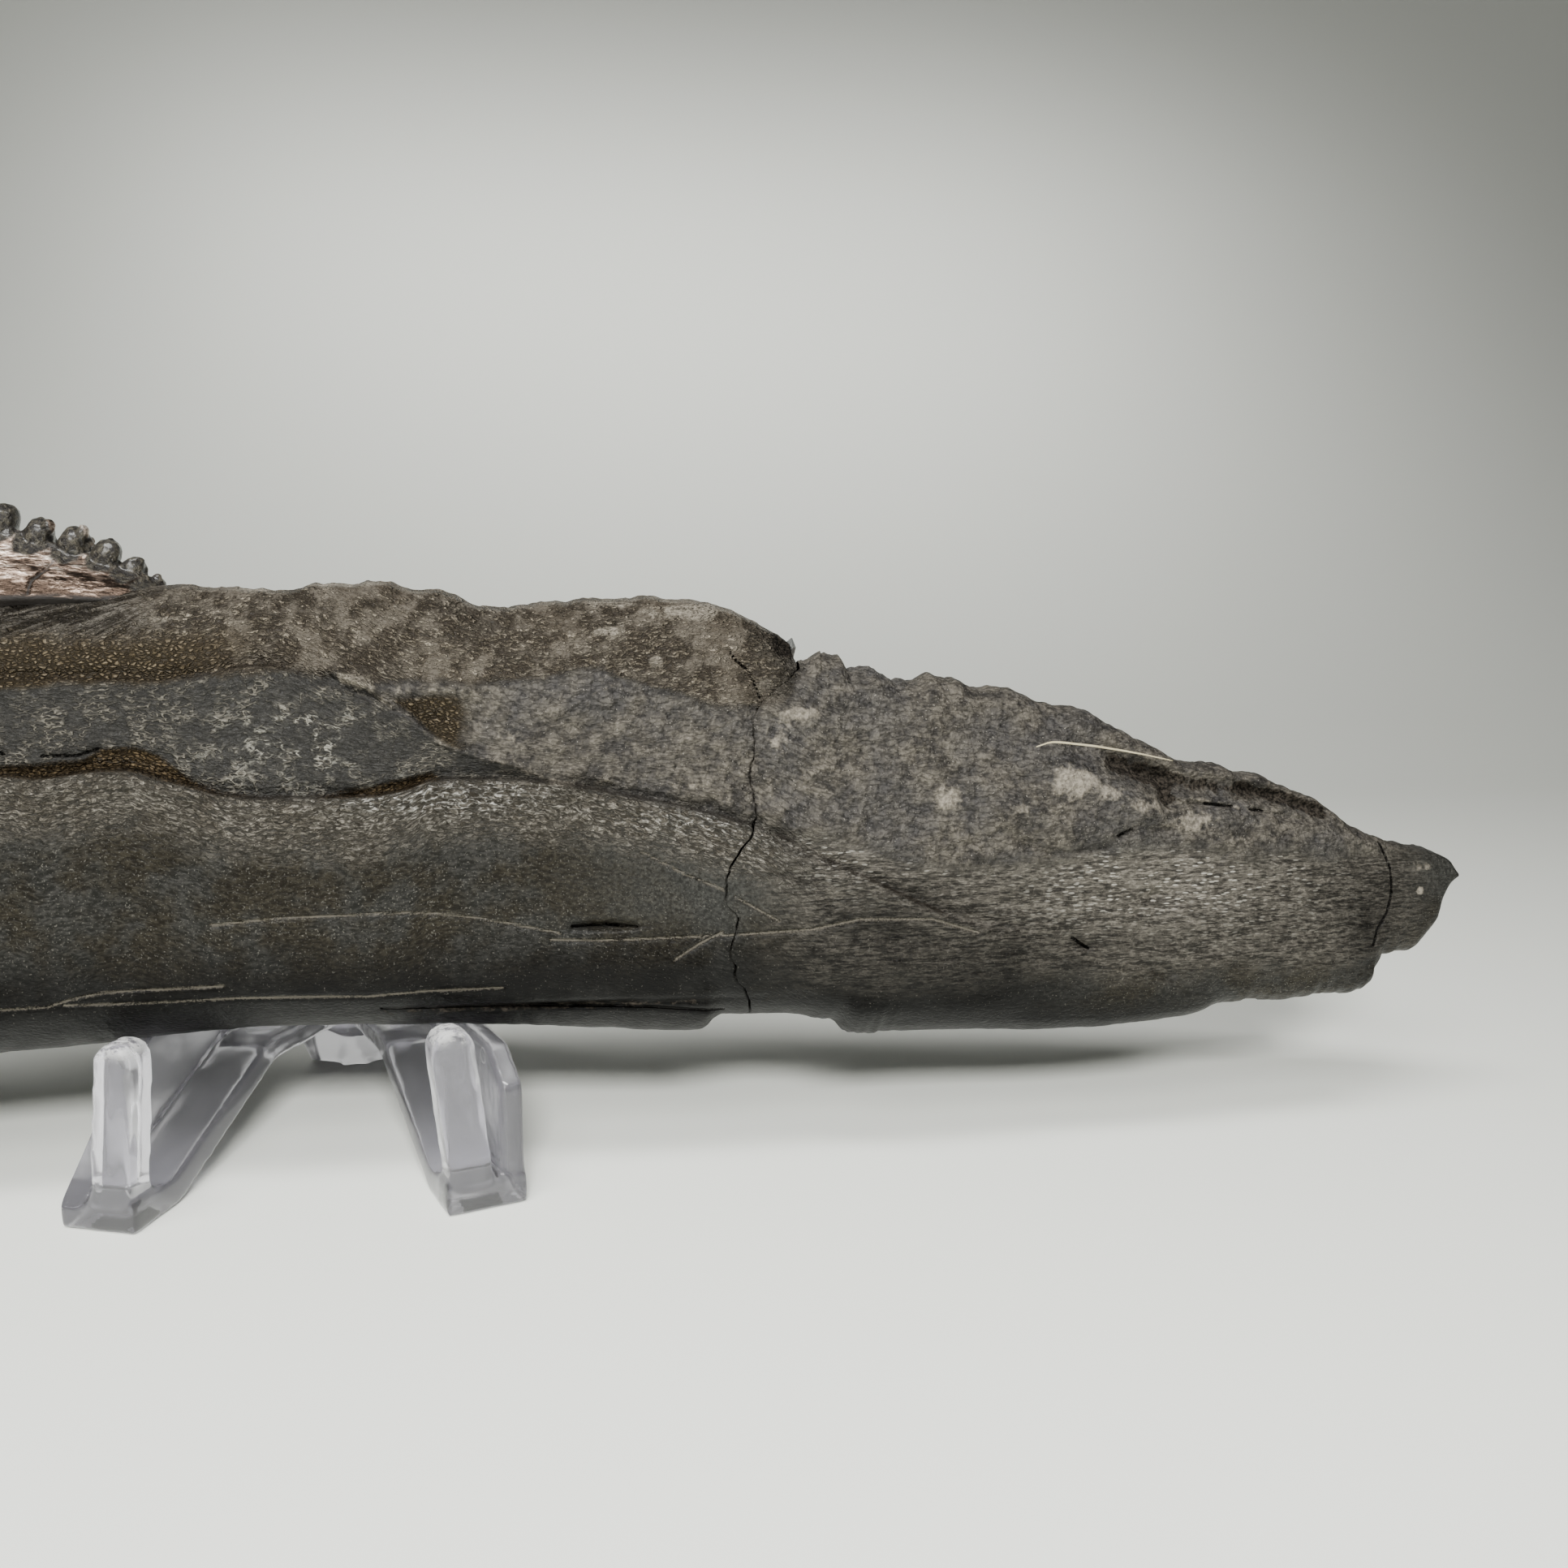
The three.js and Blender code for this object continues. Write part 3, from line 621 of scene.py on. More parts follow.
def root_material():
    """Stone that was once tooth root: wrinkles, bare smooth bone, mottled rock crust and hair cracks."""
    surface = Surface("fossil_root")
    noise, worms, blend, measure = surface.noise, surface.worms, surface.blend, surface.measure
    flank, flow = measure("flank", "Vector"), measure("flow", "Vector")
    zone = {name: measure(name) for name in (
        "oldest", "crust", "streaked", "rolled", "middle", "gold", "fibres", "low", "hollow", "pale_patch",
        "bright", "keel", "worn", "groove", "grey", "dim",
    )}
    gold, bright = zone["gold"], zone["bright"]

    # Patterns, with their width in mm: blotches 9, mottling 2, rubble 1, grains 0.4 and specks 0.2
    blotch = noise(flank, 0.11, 2, 0.55)
    mottle = noise(flank, 0.45, 3, 0.62)
    rubble = noise(flank, 1, 2, 0.62)
    grains = noise(flank, 2.4, 2, 0.6).eased(0.36, 0.64)
    specks = noise(flank, 4.6, 1)
    uneven = mottle - 0.5
    # Pebbles 0.6 by 0.4 with shades of their own, and crests, crevices and creases that run with the lips
    bent = surface.bend(flow, (0.8, 0.8, 1.6), 0.7)
    pebble_place = surface.stretch(bent, (1.5, 1.5, 2.7))
    pebbles = surface.cells(pebble_place, "DISTANCE_TO_EDGE").eased(0.02, 0.3)
    pebble_shade = surface.cells(pebble_place, output="Color")
    crests = worms(bent, (0.8, 0.8, 2.1), 1, 0.085, 0.02)
    crevices = worms(bent, (0.6, 0.6, 1.7), 2, 0.01, 0.1)
    creases = worms(bent, (0.35, 0.35, 1.5), 2, 0.004, 0.045)
    lines = noise(bent, (1.4, 1.4, 3.6))
    # Relief of the wrinkles, used for the bump and also painted into the colour as shade in the valleys and
    # light on the crests
    gold_relief = pebbles * (0.45 + 0.45 * pebble_shade) * (0.5 + 0.5 * creases) + 0.15 * lines
    worm_relief = (0.5 * crests + 0.55 * pebbles * pebble_shade + 0.3 * lines) * (0.15 + 0.85 * crevices)
    worm_relief = worm_relief * (0.2 + 0.8 * creases)
    dashes = worms(surface.bend(flow, (0.6, 0.6, 1.2), 0.9), (0.6, 0.6, 2.2), 1, 0.06, 0.02)
    dashes = dashes * mottle.eased(0.46, 0.6)
    fibre_lines = noise(surface.bend(measure("fan", "Vector"), (1, 1, 0.2), 2), 1, 3, 0.68)

    # Bare bone: dark and smooth with fine pale specks, greyer in some places and more olive in others
    olive = (blotch + 0.5 * uneven).eased(0.36, 0.62)
    pale = blend(olive, (0.05, 0.048, 0.044), (0.042, 0.037, 0.026))
    deep = blend(olive, (0.014, 0.014, 0.012), (0.011, 0.009, 0.006))
    colour = blend(lines.eased(0.35, 0.7) * (0.5 + 0.5 * grains), deep, pale)
    colour = blend(specks.eased(0.6, 0.72) * 0.5, colour, (0.12, 0.115, 0.1))
    grey = surface.shade((0.09, 0.09, 0.083), 0.3 + grains * mottle)
    colour = blend(zone["grey"] * 0.5, colour, grey)
    # Low on the flank the colour darkens: partly the stone's own dark olive, partly painted shade where the
    # flank turns under
    colour = blend(zone["low"] * (0.85 + 0.15 * olive), colour, surface.shade(colour, 0.06))

    # The rolled lip, the middle root, the oldest root and the groove, each with its wrinkles. The wrinkles'
    # near-black valleys are painted shade and their pale crests and glints painted highlights, laid over the
    # stone's own browns and greys.
    rolled = blend(mottle.eased(0.35, 0.65), (0.18, 0.16, 0.13), (0.3, 0.275, 0.235))
    # Painted highlights on the rolled lip's crests, strongest in the bright places
    rolled = blend(bright * crests * 0.8, rolled, (0.6, 0.58, 0.54))
    rolled = blend(worm_relief * 2.1, (0.02, 0.017, 0.012), rolled)
    colour = blend(zone["rolled"] * (0.5 + 0.5 * creases), colour, rolled)
    middle = blend(mottle.eased(0.4, 0.6), (0.15, 0.143, 0.13), (0.22, 0.202, 0.168))
    wrinkles = 0.75 * crests * mottle.eased(0.4, 0.62) * (1 - 0.6 * bright) + 0.6 * (lines - 0.4)
    middle = blend(wrinkles, (0.026, 0.025, 0.023), middle)
    # Pale dashes on the middle root: pale rock and painted highlights on the wrinkle tops
    middle = blend(dashes * bright * 0.85, middle, (0.52, 0.5, 0.43))
    colour = blend(zone["middle"], colour, middle)
    worn = (blotch + 0.8 * uneven + 0.1 * zone["worn"]).eased(0.52, 0.72) * (1 - gold)
    relief = (gold * gold_relief + (1 - gold) * worm_relief * 1.9) * (1 - 0.6 * worn) + 0.3 * worn
    oldest = blend(mottle.eased(0.4, 0.62), (0.19, 0.16, 0.122), (0.31, 0.272, 0.22))
    oldest = blend(gold * 0.85, oldest, (0.22, 0.168, 0.1))
    oldest = blend(relief, blend(gold, (0.026, 0.021, 0.016), (0.013, 0.01, 0.006)), oldest)
    # Painted glints: highlights painted on the tops of the wrinkles
    painted_glints = relief.eased(0.55, 0.85) * specks.eased(0.5, 0.6)
    oldest = blend(painted_glints * (0.5 - 0.35 * gold), oldest, (0.48, 0.42, 0.32))
    colour = blend(zone["oldest"], colour, oldest)
    fibres = blend(fibre_lines.eased(0.42, 0.6), (0.012, 0.01, 0.008), (0.14, 0.127, 0.11))
    colour = blend(zone["fibres"] * (0.5 + 0.5 * mottle), colour, fibres)
    groove = blend(gold_relief, (0.012, 0.008, 0.004), (0.25, 0.18, 0.1))
    colour = blend(zone["groove"], colour, groove)

    # Striped bone of the front piece, with short pale dashes in rows
    rows_place = surface.bend(flank, (0.3, 0.3, 0.6), 0.35)
    stripes = 0.5 * noise(rows_place, (0.3, 0.3, 2.2), 3, 0.6)
    stripes = stripes + 0.5 * noise(rows_place, (0.9, 0.9, 6), 2, 0.6)
    cells = surface.cells(surface.stretch(rows_place, (0.85, 0.85, 3.2)))
    cell_shade = Field(surface, cells.socket.node.outputs["Color"])
    row_dashes = cells.eased(0.4, 0.24) * cell_shade.eased(0.4, 0.7)
    striped = blend(stripes.eased(0.4, 0.6), (0.045, 0.041, 0.035), (0.2, 0.182, 0.154))
    striped = surface.shade(striped, (0.3 + 0.9 * mottle) * (0.7 + 0.5 * bright) * (0.75 + 0.5 * crests))
    striped = blend(row_dashes * (0.1 + 0.75 * bright), striped, (0.45, 0.43, 0.38))
    # Low on the flank the stripes darken too, partly dark stone and partly painted shade
    striped = blend(zone["low"] * 0.85, striped, surface.shade(striped, 0.33))
    colour = blend(zone["streaked"], colour, striped)
    # Painted shade along the keel, and darker colour in the dim places
    colour = surface.shade(colour, (1 - 0.9 * zone["keel"]) * (1 - 0.6 * zone["dim"]))

    # Rock crust, its pale patches, hollows and cracks
    crust = (0.65 * mottle + 0.35 * rubble).eased(0.36, 0.64)
    crust = blend(crust, (0.06, 0.055, 0.05), (0.175, 0.157, 0.13))
    crust = blend(blotch.eased(0.58, 0.4) * 0.5, crust, (0.08, 0.077, 0.078))
    # The crust darkens along its crevices, painted shade
    crust = surface.shade(crust, (0.75 + 0.35 * grains) * (0.5 + 0.5 * crevices))
    colour = blend(zone["crust"], colour, crust)
    pale_specks = specks.eased(0.7, 0.76) * (0.15 + 0.45 * zone["crust"])
    colour = blend(pale_specks, colour, (0.4, 0.37, 0.32))
    patch = (zone["pale_patch"] + uneven * 1.3 + (rubble - 0.5)).eased(0.4, 0.95)
    colour = blend(patch * 0.8, colour, surface.shade((0.36, 0.32, 0.26), 0.6 + 0.5 * grains))
    # Hollows: near black, partly the dark rock and partly painted shade in the trough, cavity and slit
    dark = (zone["hollow"] + uneven * 1.8 + (rubble - 0.5) * 1.8).eased(0.35, 0.8)
    dark = dark * zone["hollow"].eased(0, 0.2)
    hollow = blend(grains * rubble, (0.004, 0.003, 0.002), (0.09, 0.075, 0.06))
    colour = blend(dark * 0.95, colour, hollow)
    ragged = (specks - 0.5) * 0.4 + uneven * 0.3
    pale_crack, dark_crack = measure("pale_crack"), measure("dark_crack")
    pale_line = (pale_crack + ragged).eased(0.24, 0.06)
    dark_line = (dark_crack + ragged * 0.9).eased(0.2, 0.06)
    # Painted shade: dark lines along the steps at the lips of the youngest and middle roots
    young_lip_shade = (measure("young_lip") + ragged * 1.2).eased(0.4, 0.06)
    middle_lip_shade = (measure("middle_lip") + ragged * 1.6).eased(0.35, 0.05) * 0.6
    colour = blend(pale_line * (0.25 + 0.6 * mottle), colour, (0.2, 0.18, 0.145))
    colour = blend(young_lip_shade.most(middle_lip_shade) * 0.7, colour, (0.014, 0.011, 0.008))
    colour = blend(dark_line, colour, (0.003, 0.0025, 0.002))

    # Relief too fine for the mesh, with the cracks' edges left smooth
    height = zone["oldest"].most(zone["groove"]) * relief + zone["rolled"] * worm_relief
    height = height + zone["middle"] * wrinkles * 0.7 + zone["crust"] * (mottle * 0.7 + rubble * 0.9)
    height = height + zone["streaked"] * rubble * 0.5 + lines * 0.15
    height = height - pale_crack.eased(0.24, 0.06) * 0.3 - dark_crack.eased(0.2, 0.06)
    roughness = 0.42 + 0.25 * zone["crust"] + 0.12 * zone["streaked"] + 0.25 * uneven + 0.2 * dark
    return surface.finish(
        base_color=colour,
        roughness=roughness,
        normal=surface.raised(height, 0.0008),
        specular_ior_level=0.12,
    )


root = root_material()
main_stations = np.concatenate([
    np.linspace(BACK_END_X, SHOWN_FROM_X, HIDDEN_STATIONS, endpoint=False),
    np.linspace(SHOWN_FROM_X, BREAK_X, SHOWN_STATIONS)])
roots = jaw_piece("roots_main_piece", main_stations, -1)
roots.data.materials.append(root)
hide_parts("jaw_roots_and_crowns")

# The front piece beyond the break: the oldest part, its crowns lost, worn to striped bone and capped with
# rock. It is the same stone as the main piece and holds to it along the hair-thin joint in the break.
TIP_STATIONS = 330
tip_stations = np.linspace(BREAK_X, TIP_END_X, TIP_STATIONS)
tip = jaw_piece("front_tip_piece", tip_stations, 1)
tip.data.materials.append(root)
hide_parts("jaw_front_tip")

# The two tooth crowns: blades of glossy enamel, bronze where it meets the root and set along the edge
# with dark rounded knobs. They sit astride the jaw's top edge, grown into it; the one behind is lower and
# leans back.
CROWN_EDGE = [
    (-14, 52.6), (-16.5, 54.4), (-22, 56.4), (-30, 59.4), (-34, 61.2), (-38, 65.6), (-42.5, 74),
    (-47, 82.6), (-48.6, 83.6), (-50.2, 81), (-53, 72), (-56, 63.5), (-59, 57), (-61.5, 53),
]
CROWN_RIM = [(-61.5, 51), (-58, 50), (-48, 48.6), (-34, 50.4), (-27.5, 51.1), (-20, 50.9), (-14, 51.4)]
CROWN_ROOTED = 47
CROWN_SECTION = [(0, 7.1), (0.3, 6.3), (0.62, 3.9), (0.9, 1.7), (1, 1.2)]
CROWN_END_SCALE = 0.55
CROWN_STATIONS, CROWN_ROWS = 160, 24
# The knobs nearest the tip of the jaw: x and h of the top, lean to the front in degrees, and size
FIRST_KNOBS = [
    (-14.6, 53.7, 70, 0.6), (-17.2, 56.5, 40, 0.76), (-20.2, 58.7, 24, 0.95), (-23.9, 60.2, 20, 0.97),
    (-27.9, 61.2, 16, 0.97), (-31.7, 62.8, 18, 0.97),
]
KNOB_PITCH = 4.1
KNOB_REACH = 2.4
KNOB_HALF = (1.85, 1.95, 2.5)
KNOB_LUMPS = 7
ENAMEL_SPLIT = [[(-25.9, 56.4), (-26.6, 54.4), (-27.6, 53.2), (-27.9, 51.6)]]
CROWN_SKIN_SIZE = 0.21
CROWNS = (("crown_front", 0, 0, 0), ("crown_back", 44, 2.2, math.radians(5)))


def remeshed(name, points, faces, size):
    """Points, normals and faces of one closed skin round overlapping shapes, in squares of that size."""
    mesh = bpy.data.meshes.new(name)
    mesh.from_pydata(points.tolist(), [], faces)
    shape = bpy.data.objects.new(name, mesh)
    bpy.context.scene.collection.objects.link(shape)
    skin = shape.modifiers.new("skin", "REMESH")
    skin.mode = "VOXEL"
    skin.voxel_size = size
    done = bpy.data.meshes.new_from_object(shape.evaluated_get(bpy.context.evaluated_depsgraph_get()))
    found = np.empty(len(done.vertices) * 3)
    done.vertices.foreach_get("co", found)
    normals = np.empty(len(found))
    done.vertices.foreach_get("normal", normals)
    quads = [tuple(face.vertices) for face in done.polygons]
    bpy.data.objects.remove(shape)
    bpy.data.meshes.remove(mesh)
    bpy.data.meshes.remove(done)
    return found.reshape(-1, 3), normals.reshape(-1, 3), quads


def crown_blade():
    """Points and faces of the blade alone, from deep in the root up to its edge."""
    edge = CROWN_EDGE[::-1]
    stations = np.linspace(CROWN_EDGE[-1][0], CROWN_EDGE[0][0], CROWN_STATIONS)
    rim, high = along(CROWN_RIM, stations)[:, None], along(edge, stations)[:, None]
    swell = np.sqrt(np.sin(np.linspace(0, np.pi, CROWN_STATIONS)).clip(0))
    scale = CROWN_END_SCALE + (1 - CROWN_END_SCALE) * swell
    share = np.linspace(0, 1, CROWN_ROWS)[None, :]
    h = rim + (high - rim) * share
    half = along(CROWN_SECTION, share) * scale[:, None]
    x = stations[:, None]
    deep = np.stack([x, 0 * x, CROWN_ROOTED + 0 * x], -1)
    near = np.stack([x + 0 * h, -half, h], -1)
    far = np.stack([x + 0 * h, half, h], -1)[:, ::-1]
    rings = np.concatenate([deep, near, far], axis=1)
    points = np.concatenate([rings.reshape(-1, 3), rings[[0, -1]].mean(axis=1)])
    return points, ring_faces(*rings.shape[:2])


def edge_path():
    """Places closely along the crown's edge, with the distance run to each and the way out of the blade."""
    corners = np.array(CROWN_EDGE, float)
    run = np.concatenate([[0], np.cumsum(np.hypot(*np.diff(corners, axis=0).T))])
    distance = np.linspace(0, run[-1], 800)
    path = np.stack([along(np.stack([run, axis], -1), distance) for axis in corners.T], -1)
    ahead = np.gradient(path, axis=0)
    ahead /= np.linalg.norm(ahead, axis=1)[:, None]
    return distance, path, np.stack([ahead[:, 1], -ahead[:, 0]], -1)


def ball(middle, half, out, blunt=0):
    """Rounded lump round middle; half holds its half sizes across out, through the blade and along out."""
    sphere = bmesh.new()
    bmesh.ops.create_icosphere(sphere, subdivisions=3, radius=1)
    points = np.array([vertex.co for vertex in sphere.verts])
    faces = [tuple(vertex.index for vertex in face.verts) for face in sphere.faces]
    sphere.free()
    boxed = points / (np.abs(points) ** 4).sum(axis=1, keepdims=True) ** 0.25
    x, y, h = ((points + blunt * (boxed - points)) * half).T
    return np.stack([x * out[1] + h * out[0], y, h * out[1] - x * out[0]], -1) + middle, faces


def knob_places(distance, path, outward):
    """Top, direction and size of every knob: the first few one by one, the others at even steps."""
    knobs = [((x, h), (math.sin(math.radians(lean)), math.cos(math.radians(lean))), size)
             for x, h, lean, size in FIRST_KNOBS]
    last = np.array(FIRST_KNOBS[-1][:2])
    at = distance[np.argmin(np.hypot(*(path - last).T))] + KNOB_PITCH
    while at < distance[-1]:
        i = np.searchsorted(distance, at)
        knobs.append((path[i] + KNOB_REACH * outward[i], outward[i], 1))
        at += KNOB_PITCH
    return knobs


def crown_skin(seed):
    """Points and faces of one crown, and the numbers at each point that its finish needs."""
    shapes = [crown_blade()]
    distance, path, outward = edge_path()
    chance = np.random.default_rng(seed)
    knobs = []
    for top, out, size in knob_places(distance, path, outward):
        half = np.array(KNOB_HALF) * size
        out, side = np.array([out[0], 0, out[1]]), np.array([out[1], 0, -out[0]])
        through = np.array([0, 0.8, 0])
        middle = np.array([top[0], 0, top[1]]) - half[2] * out
        knobs.append((middle, half, out, side))
        shapes.append(ball(middle, half * (0.92, 1, 0.96), (out[0], out[2]), 0.3))
        for _ in range(KNOB_LUMPS):
            shift, across, rise = chance.uniform((-0.75, -0.9, -0.6), (0.75, 0.9, 0.72))
            lump = middle + half[0] * shift * side + half[1] * across * through + half[2] * rise * out
            shapes.append(ball(lump, half * chance.uniform(0.26, 0.42), (out[0], out[2])))
    points, faces = [], []
    for shape_points, shape_faces in shapes:
        start = sum(len(group) for group in points)
        points.append(shape_points)
        faces += [tuple(start + n for n in face) for face in shape_faces]
    points, normals, faces = remeshed("crown_shape", np.concatenate(points), faces, CROWN_SKIN_SIZE)
    x, y, h = points.T
    reach = np.full(len(points), 9.0)
    for middle, half, out, side in knobs:
        away = points - middle
        reach = np.minimum(reach, np.hypot(away @ side / half[0], away @ out / half[2]))
    knob = ease(reach + 0.25 * rough(x, y, h, 1.4, 1, seed), 1.22, 0.98)
    split = crack_distance(x, h, ENAMEL_SPLIT)
    lift = knob * 0.2 * rough(x, y, h, 1.3, 1.6, seed + 1, 3)
    lift = lift + (1 - knob) * 0.14 * rough(x, y, h, 3, 0.2, seed + 2, 3)
    lift = lift - 0.2 * ease(split, 0.3, 0.05) * (1 - knob)
    points = points + normals * lift[:, None]
    return points, faces, {
        "knob": knob,
        "above_rim": h - along(CROWN_RIM, x),
        "split": np.where(y < 0, split, FAR_FROM_CRACKS),
        "dull": ease(x + 0.4 * (h - 53), -20.5, -17.5),
        "crown_place": points,
    }


def enamel_material():
    """Enamel: glossy bronze, with painted reflections in bright streaks above the root, near black and pitted
    on the knobs.
    """
    surface = Surface("fossil_enamel")
    place = surface.measure("crown_place", "Vector")
    knob, above_rim, dull = surface.measure("knob"), surface.measure("above_rim"), surface.measure("dull")
    streaks = surface.noise(surface.bend(place, (0.5, 0.5, 0.8), 0.8), (0.45, 0.6, 1.9), 4, 0.62)
    fine = surface.noise(place, (0.6, 0.9, 2.4), 3, 0.6)
    pits = surface.noise(place, 1.5, 4, 0.68)
    # Painted reflections: bright streaks in the colour, brighter higher above the rim and fewer where the
    # crown is dull
    painted_shine = streaks + 0.06 * (above_rim.least(5) - 3.4) + 0.45 * (fine - 0.5) - 0.3 * dull
    bronze = surface.blend(painted_shine.eased(0.38, 0.62), (0.06, 0.042, 0.032), (0.42, 0.31, 0.245))
    bronze = surface.blend(painted_shine.eased(0.56, 0.72), bronze, (0.95, 0.84, 0.74))
    dark = surface.blend(pits.eased(0.42, 0.7), (0.016, 0.013, 0.011), (0.13, 0.115, 0.085))
    colour = surface.blend(knob, bronze, dark)
    split = surface.measure("split").eased(0.2, 0.06) * (1 - knob)
    # A painted shadow line along the enamel's lower rim, joined with the dark split in the enamel
    rim_shadow_and_split = (above_rim + (streaks - 0.5)).eased(0.75, 0.1).most(split)
    colour = surface.blend(rim_shadow_and_split * 0.9, colour, (0.008, 0.006, 0.005))
    height = (1 - knob) * (streaks * 0.6 + fine * 0.2) + knob * pits
    return surface.finish(
        base_color=colour,
        metallic=(0.8 * (1 - knob) + 0.2) * (1 - rim_shadow_and_split),
        roughness=0.3 + 0.2 * fine + 0.3 * rim_shadow_and_split,
        normal=surface.raised(height, 0.0005),
        coat_weight=0.5 * knob,
        coat_roughness=0.2,
    )


enamel = enamel_material()
pivot_x, pivot_h = CROWN_EDGE[0]
for number, (name, back, drop, turn) in enumerate(CROWNS):
    points, faces, measures = crown_skin(seed=200 + 10 * number)
    x, y, h = (points - (pivot_x, 0, pivot_h)).T
    placed = np.stack([
        x * math.cos(turn) - h * math.sin(turn) + pivot_x - back,
        y,
        x * math.sin(turn) + h * math.cos(turn) + pivot_h - drop,
    ], -1)
    crown = make_piece(name, in_frame(placed), faces, measures)
    crown.data.materials.append(enamel)
    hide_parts("jaw_roots_and_crowns")

# A clear crystal that grew in a small cavity of the broken top edge, held by its foot in the rock.
CRYSTAL_FOOT = Vector((57.6, -2.2, 43.5))
CRYSTAL_AXIS = Vector((0.3, -0.25, 0.9)).normalized()
CRYSTAL_SIDES = 6
CRYSTAL_STEPS = [(0, 0.7), (0.6, 0.95), (1.9, 0.85), (2.8, 0.1)]

across = CRYSTAL_AXIS.orthogonal()
crystal_points = []
for rise, radius in CRYSTAL_STEPS:
    for side in range(CRYSTAL_SIDES):
        out = Matrix.Rotation(2 * math.pi * side / CRYSTAL_SIDES, 3, CRYSTAL_AXIS) @ across
        skew = 1 + 0.25 * math.sin(side * 2.3)
        crystal_points.append(CRYSTAL_FOOT + CRYSTAL_AXIS * rise + out * radius * skew)
crystal_points += [CRYSTAL_FOOT, CRYSTAL_FOOT + CRYSTAL_AXIS * (CRYSTAL_STEPS[-1][0] + 0.05)]
crystal_faces = ring_faces(len(CRYSTAL_STEPS), CRYSTAL_SIDES)
crystal = make_piece("cavity_crystal", in_frame(crystal_points), crystal_faces, smooth=False)
quartz = Surface("clear_quartz")
cloud = quartz.noise(quartz.node("ShaderNodeTexCoord", {}, {}, "Object"), 900, 3)
crystal.data.materials.append(quartz.finish(
    base_color=quartz.blend(cloud, (0.75, 0.76, 0.74), (0.98, 0.98, 0.97)),
    roughness=0.06 + cloud * 0.2,
    transmission_weight=0.9,
    ior=1.54,
))
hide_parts("jaw_roots_and_crowns")

# A dry straw fibre caught on the rock crust of the front piece. It bridges the hollow and rests at both
# ends.
STRAW = [(86.6, 32.2, 9.6), (88.6, 32.7, 10.1), (92.4, 32.3, 10.2), (98.4, 31.3, 9.9), (103.6, 30.2, 9.3)]
STRAW_RADIUS = 0.13
STRAW_SIDES = 8
STRAW_STEPS = 40

run = np.linspace(0, len(STRAW) - 1, STRAW_STEPS)
straw_x, straw_h, straw_out = (along(list(enumerate(axis)), run) for axis in zip(*STRAW))
taper = STRAW_RADIUS * (0.35 + 0.65 * np.sin(np.linspace(0.25, np.pi - 0.12, STRAW_STEPS)))
turns = np.linspace(0, 2 * np.pi, STRAW_SIDES, endpoint=False)
straw_rings = np.stack([
    straw_x[:, None] + 0 * turns,
    -straw_out[:, None] + taper[:, None] * np.sin(turns),
    straw_h[:, None] + taper[:, None] * np.cos(turns),
], -1)
straw_points = np.concatenate([straw_rings.reshape(-1, 3), straw_rings[[0, -1]].mean(axis=1)])
straw_faces = ring_faces(STRAW_STEPS, STRAW_SIDES)
straw = make_piece("straw_fibre", in_frame(straw_points), straw_faces)
dry = Surface("dry_straw")
tone = dry.noise(dry.node("ShaderNodeTexCoord", {}, {}, "Object"), 700, 2)
straw.data.materials.append(dry.finish(
    base_color=dry.blend(tone, (0.5, 0.42, 0.24), (0.78, 0.7, 0.5)),
    roughness=0.35 + tone * 0.2,
))
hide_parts("jaw_front_tip")

# The easel: one moulding of milky plastic, with two legs that meet at the back and a rounded hook on each
# front foot. Its edges are rounded by the mould, which also left a small ring on each leg's web. The
# hooks' tops are scuffed white, and the left web slopes down to its foot. LEG sizes, the web's and the
# hooks' are in mm, the others in metres.
EASEL_SKIN_SIZE = 0.0004
EASEL_ROUNDING, EASEL_ROUNDING_SHARE = 11, 0.6
LEG_X, LEG_TURN = -21.3, math.radians(20)
LEFT_WEB_SIDE = -1.5
LEFT_WEB_SLOPE = [(0.4, 2.6), (7.5, 9.5), (14, 17.7), (15, 60), (62, 60)]
EASEL_RINGS = [(0.0207, 0.0072, 0.016), (-0.0207, 0.0072, 0.016)]
EASEL_RING_RADIUS = 0.0009
SCUFFED_ABOVE, SCUFFED_ALL = 0.0196, 0.0218
HOOKS_END_Y = 8

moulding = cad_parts["clear_easel"].data
easel_points = np.array([vertex.co for vertex in moulding.vertices])
easel_faces = [tuple(face.vertices) for face in moulding.polygons]
easel_points, _, easel_faces = remeshed("easel_shape", easel_points, easel_faces, EASEL_SKIN_SIZE)
leg_x, leg_y = 1000 * (easel_points[:, 0] - FEET.x) - LEG_X, 1000 * (easel_points[:, 1] - FEET.y)
across = leg_x * math.cos(LEG_TURN) - leg_y * math.sin(LEG_TURN)
slope = along(LEFT_WEB_SLOPE, leg_x * math.sin(LEG_TURN) + leg_y * math.cos(LEG_TURN)) / 1000
sloped = (across < LEFT_WEB_SIDE) & (leg_x < -LEG_X) & (easel_points[:, 2] > slope)
easel_points[sloped, 2] = slope[sloped]
count = len(easel_points)
start, end = np.array([(face[n], face[(n + 1) % 4]) for face in easel_faces for n in range(4)]).T
neighbours = np.bincount(start, minlength=count)[:, None]
for _ in range(EASEL_ROUNDING):
    middle = np.stack([np.bincount(start, axis[end], minlength=count) for axis in easel_points.T], -1)
    easel_points = easel_points + EASEL_ROUNDING_SHARE * (middle / neighbours - easel_points)
easel_points[:, 2] = easel_points[:, 2].clip(0)
easel = make_piece("clear_easel_moulding", easel_points, easel_faces, {
    "place": easel_points - np.array(FEET),
    "scuffed": np.where(leg_y < HOOKS_END_Y, easel_points[:, 2], 0),
})
plastic = Surface("clear_plastic")
place = plastic.measure("place", "Vector")
waves = plastic.noise(place, 160, 2)
scuffs = plastic.noise(place, (500, 900, 900), 3, 0.7)
rings = 0
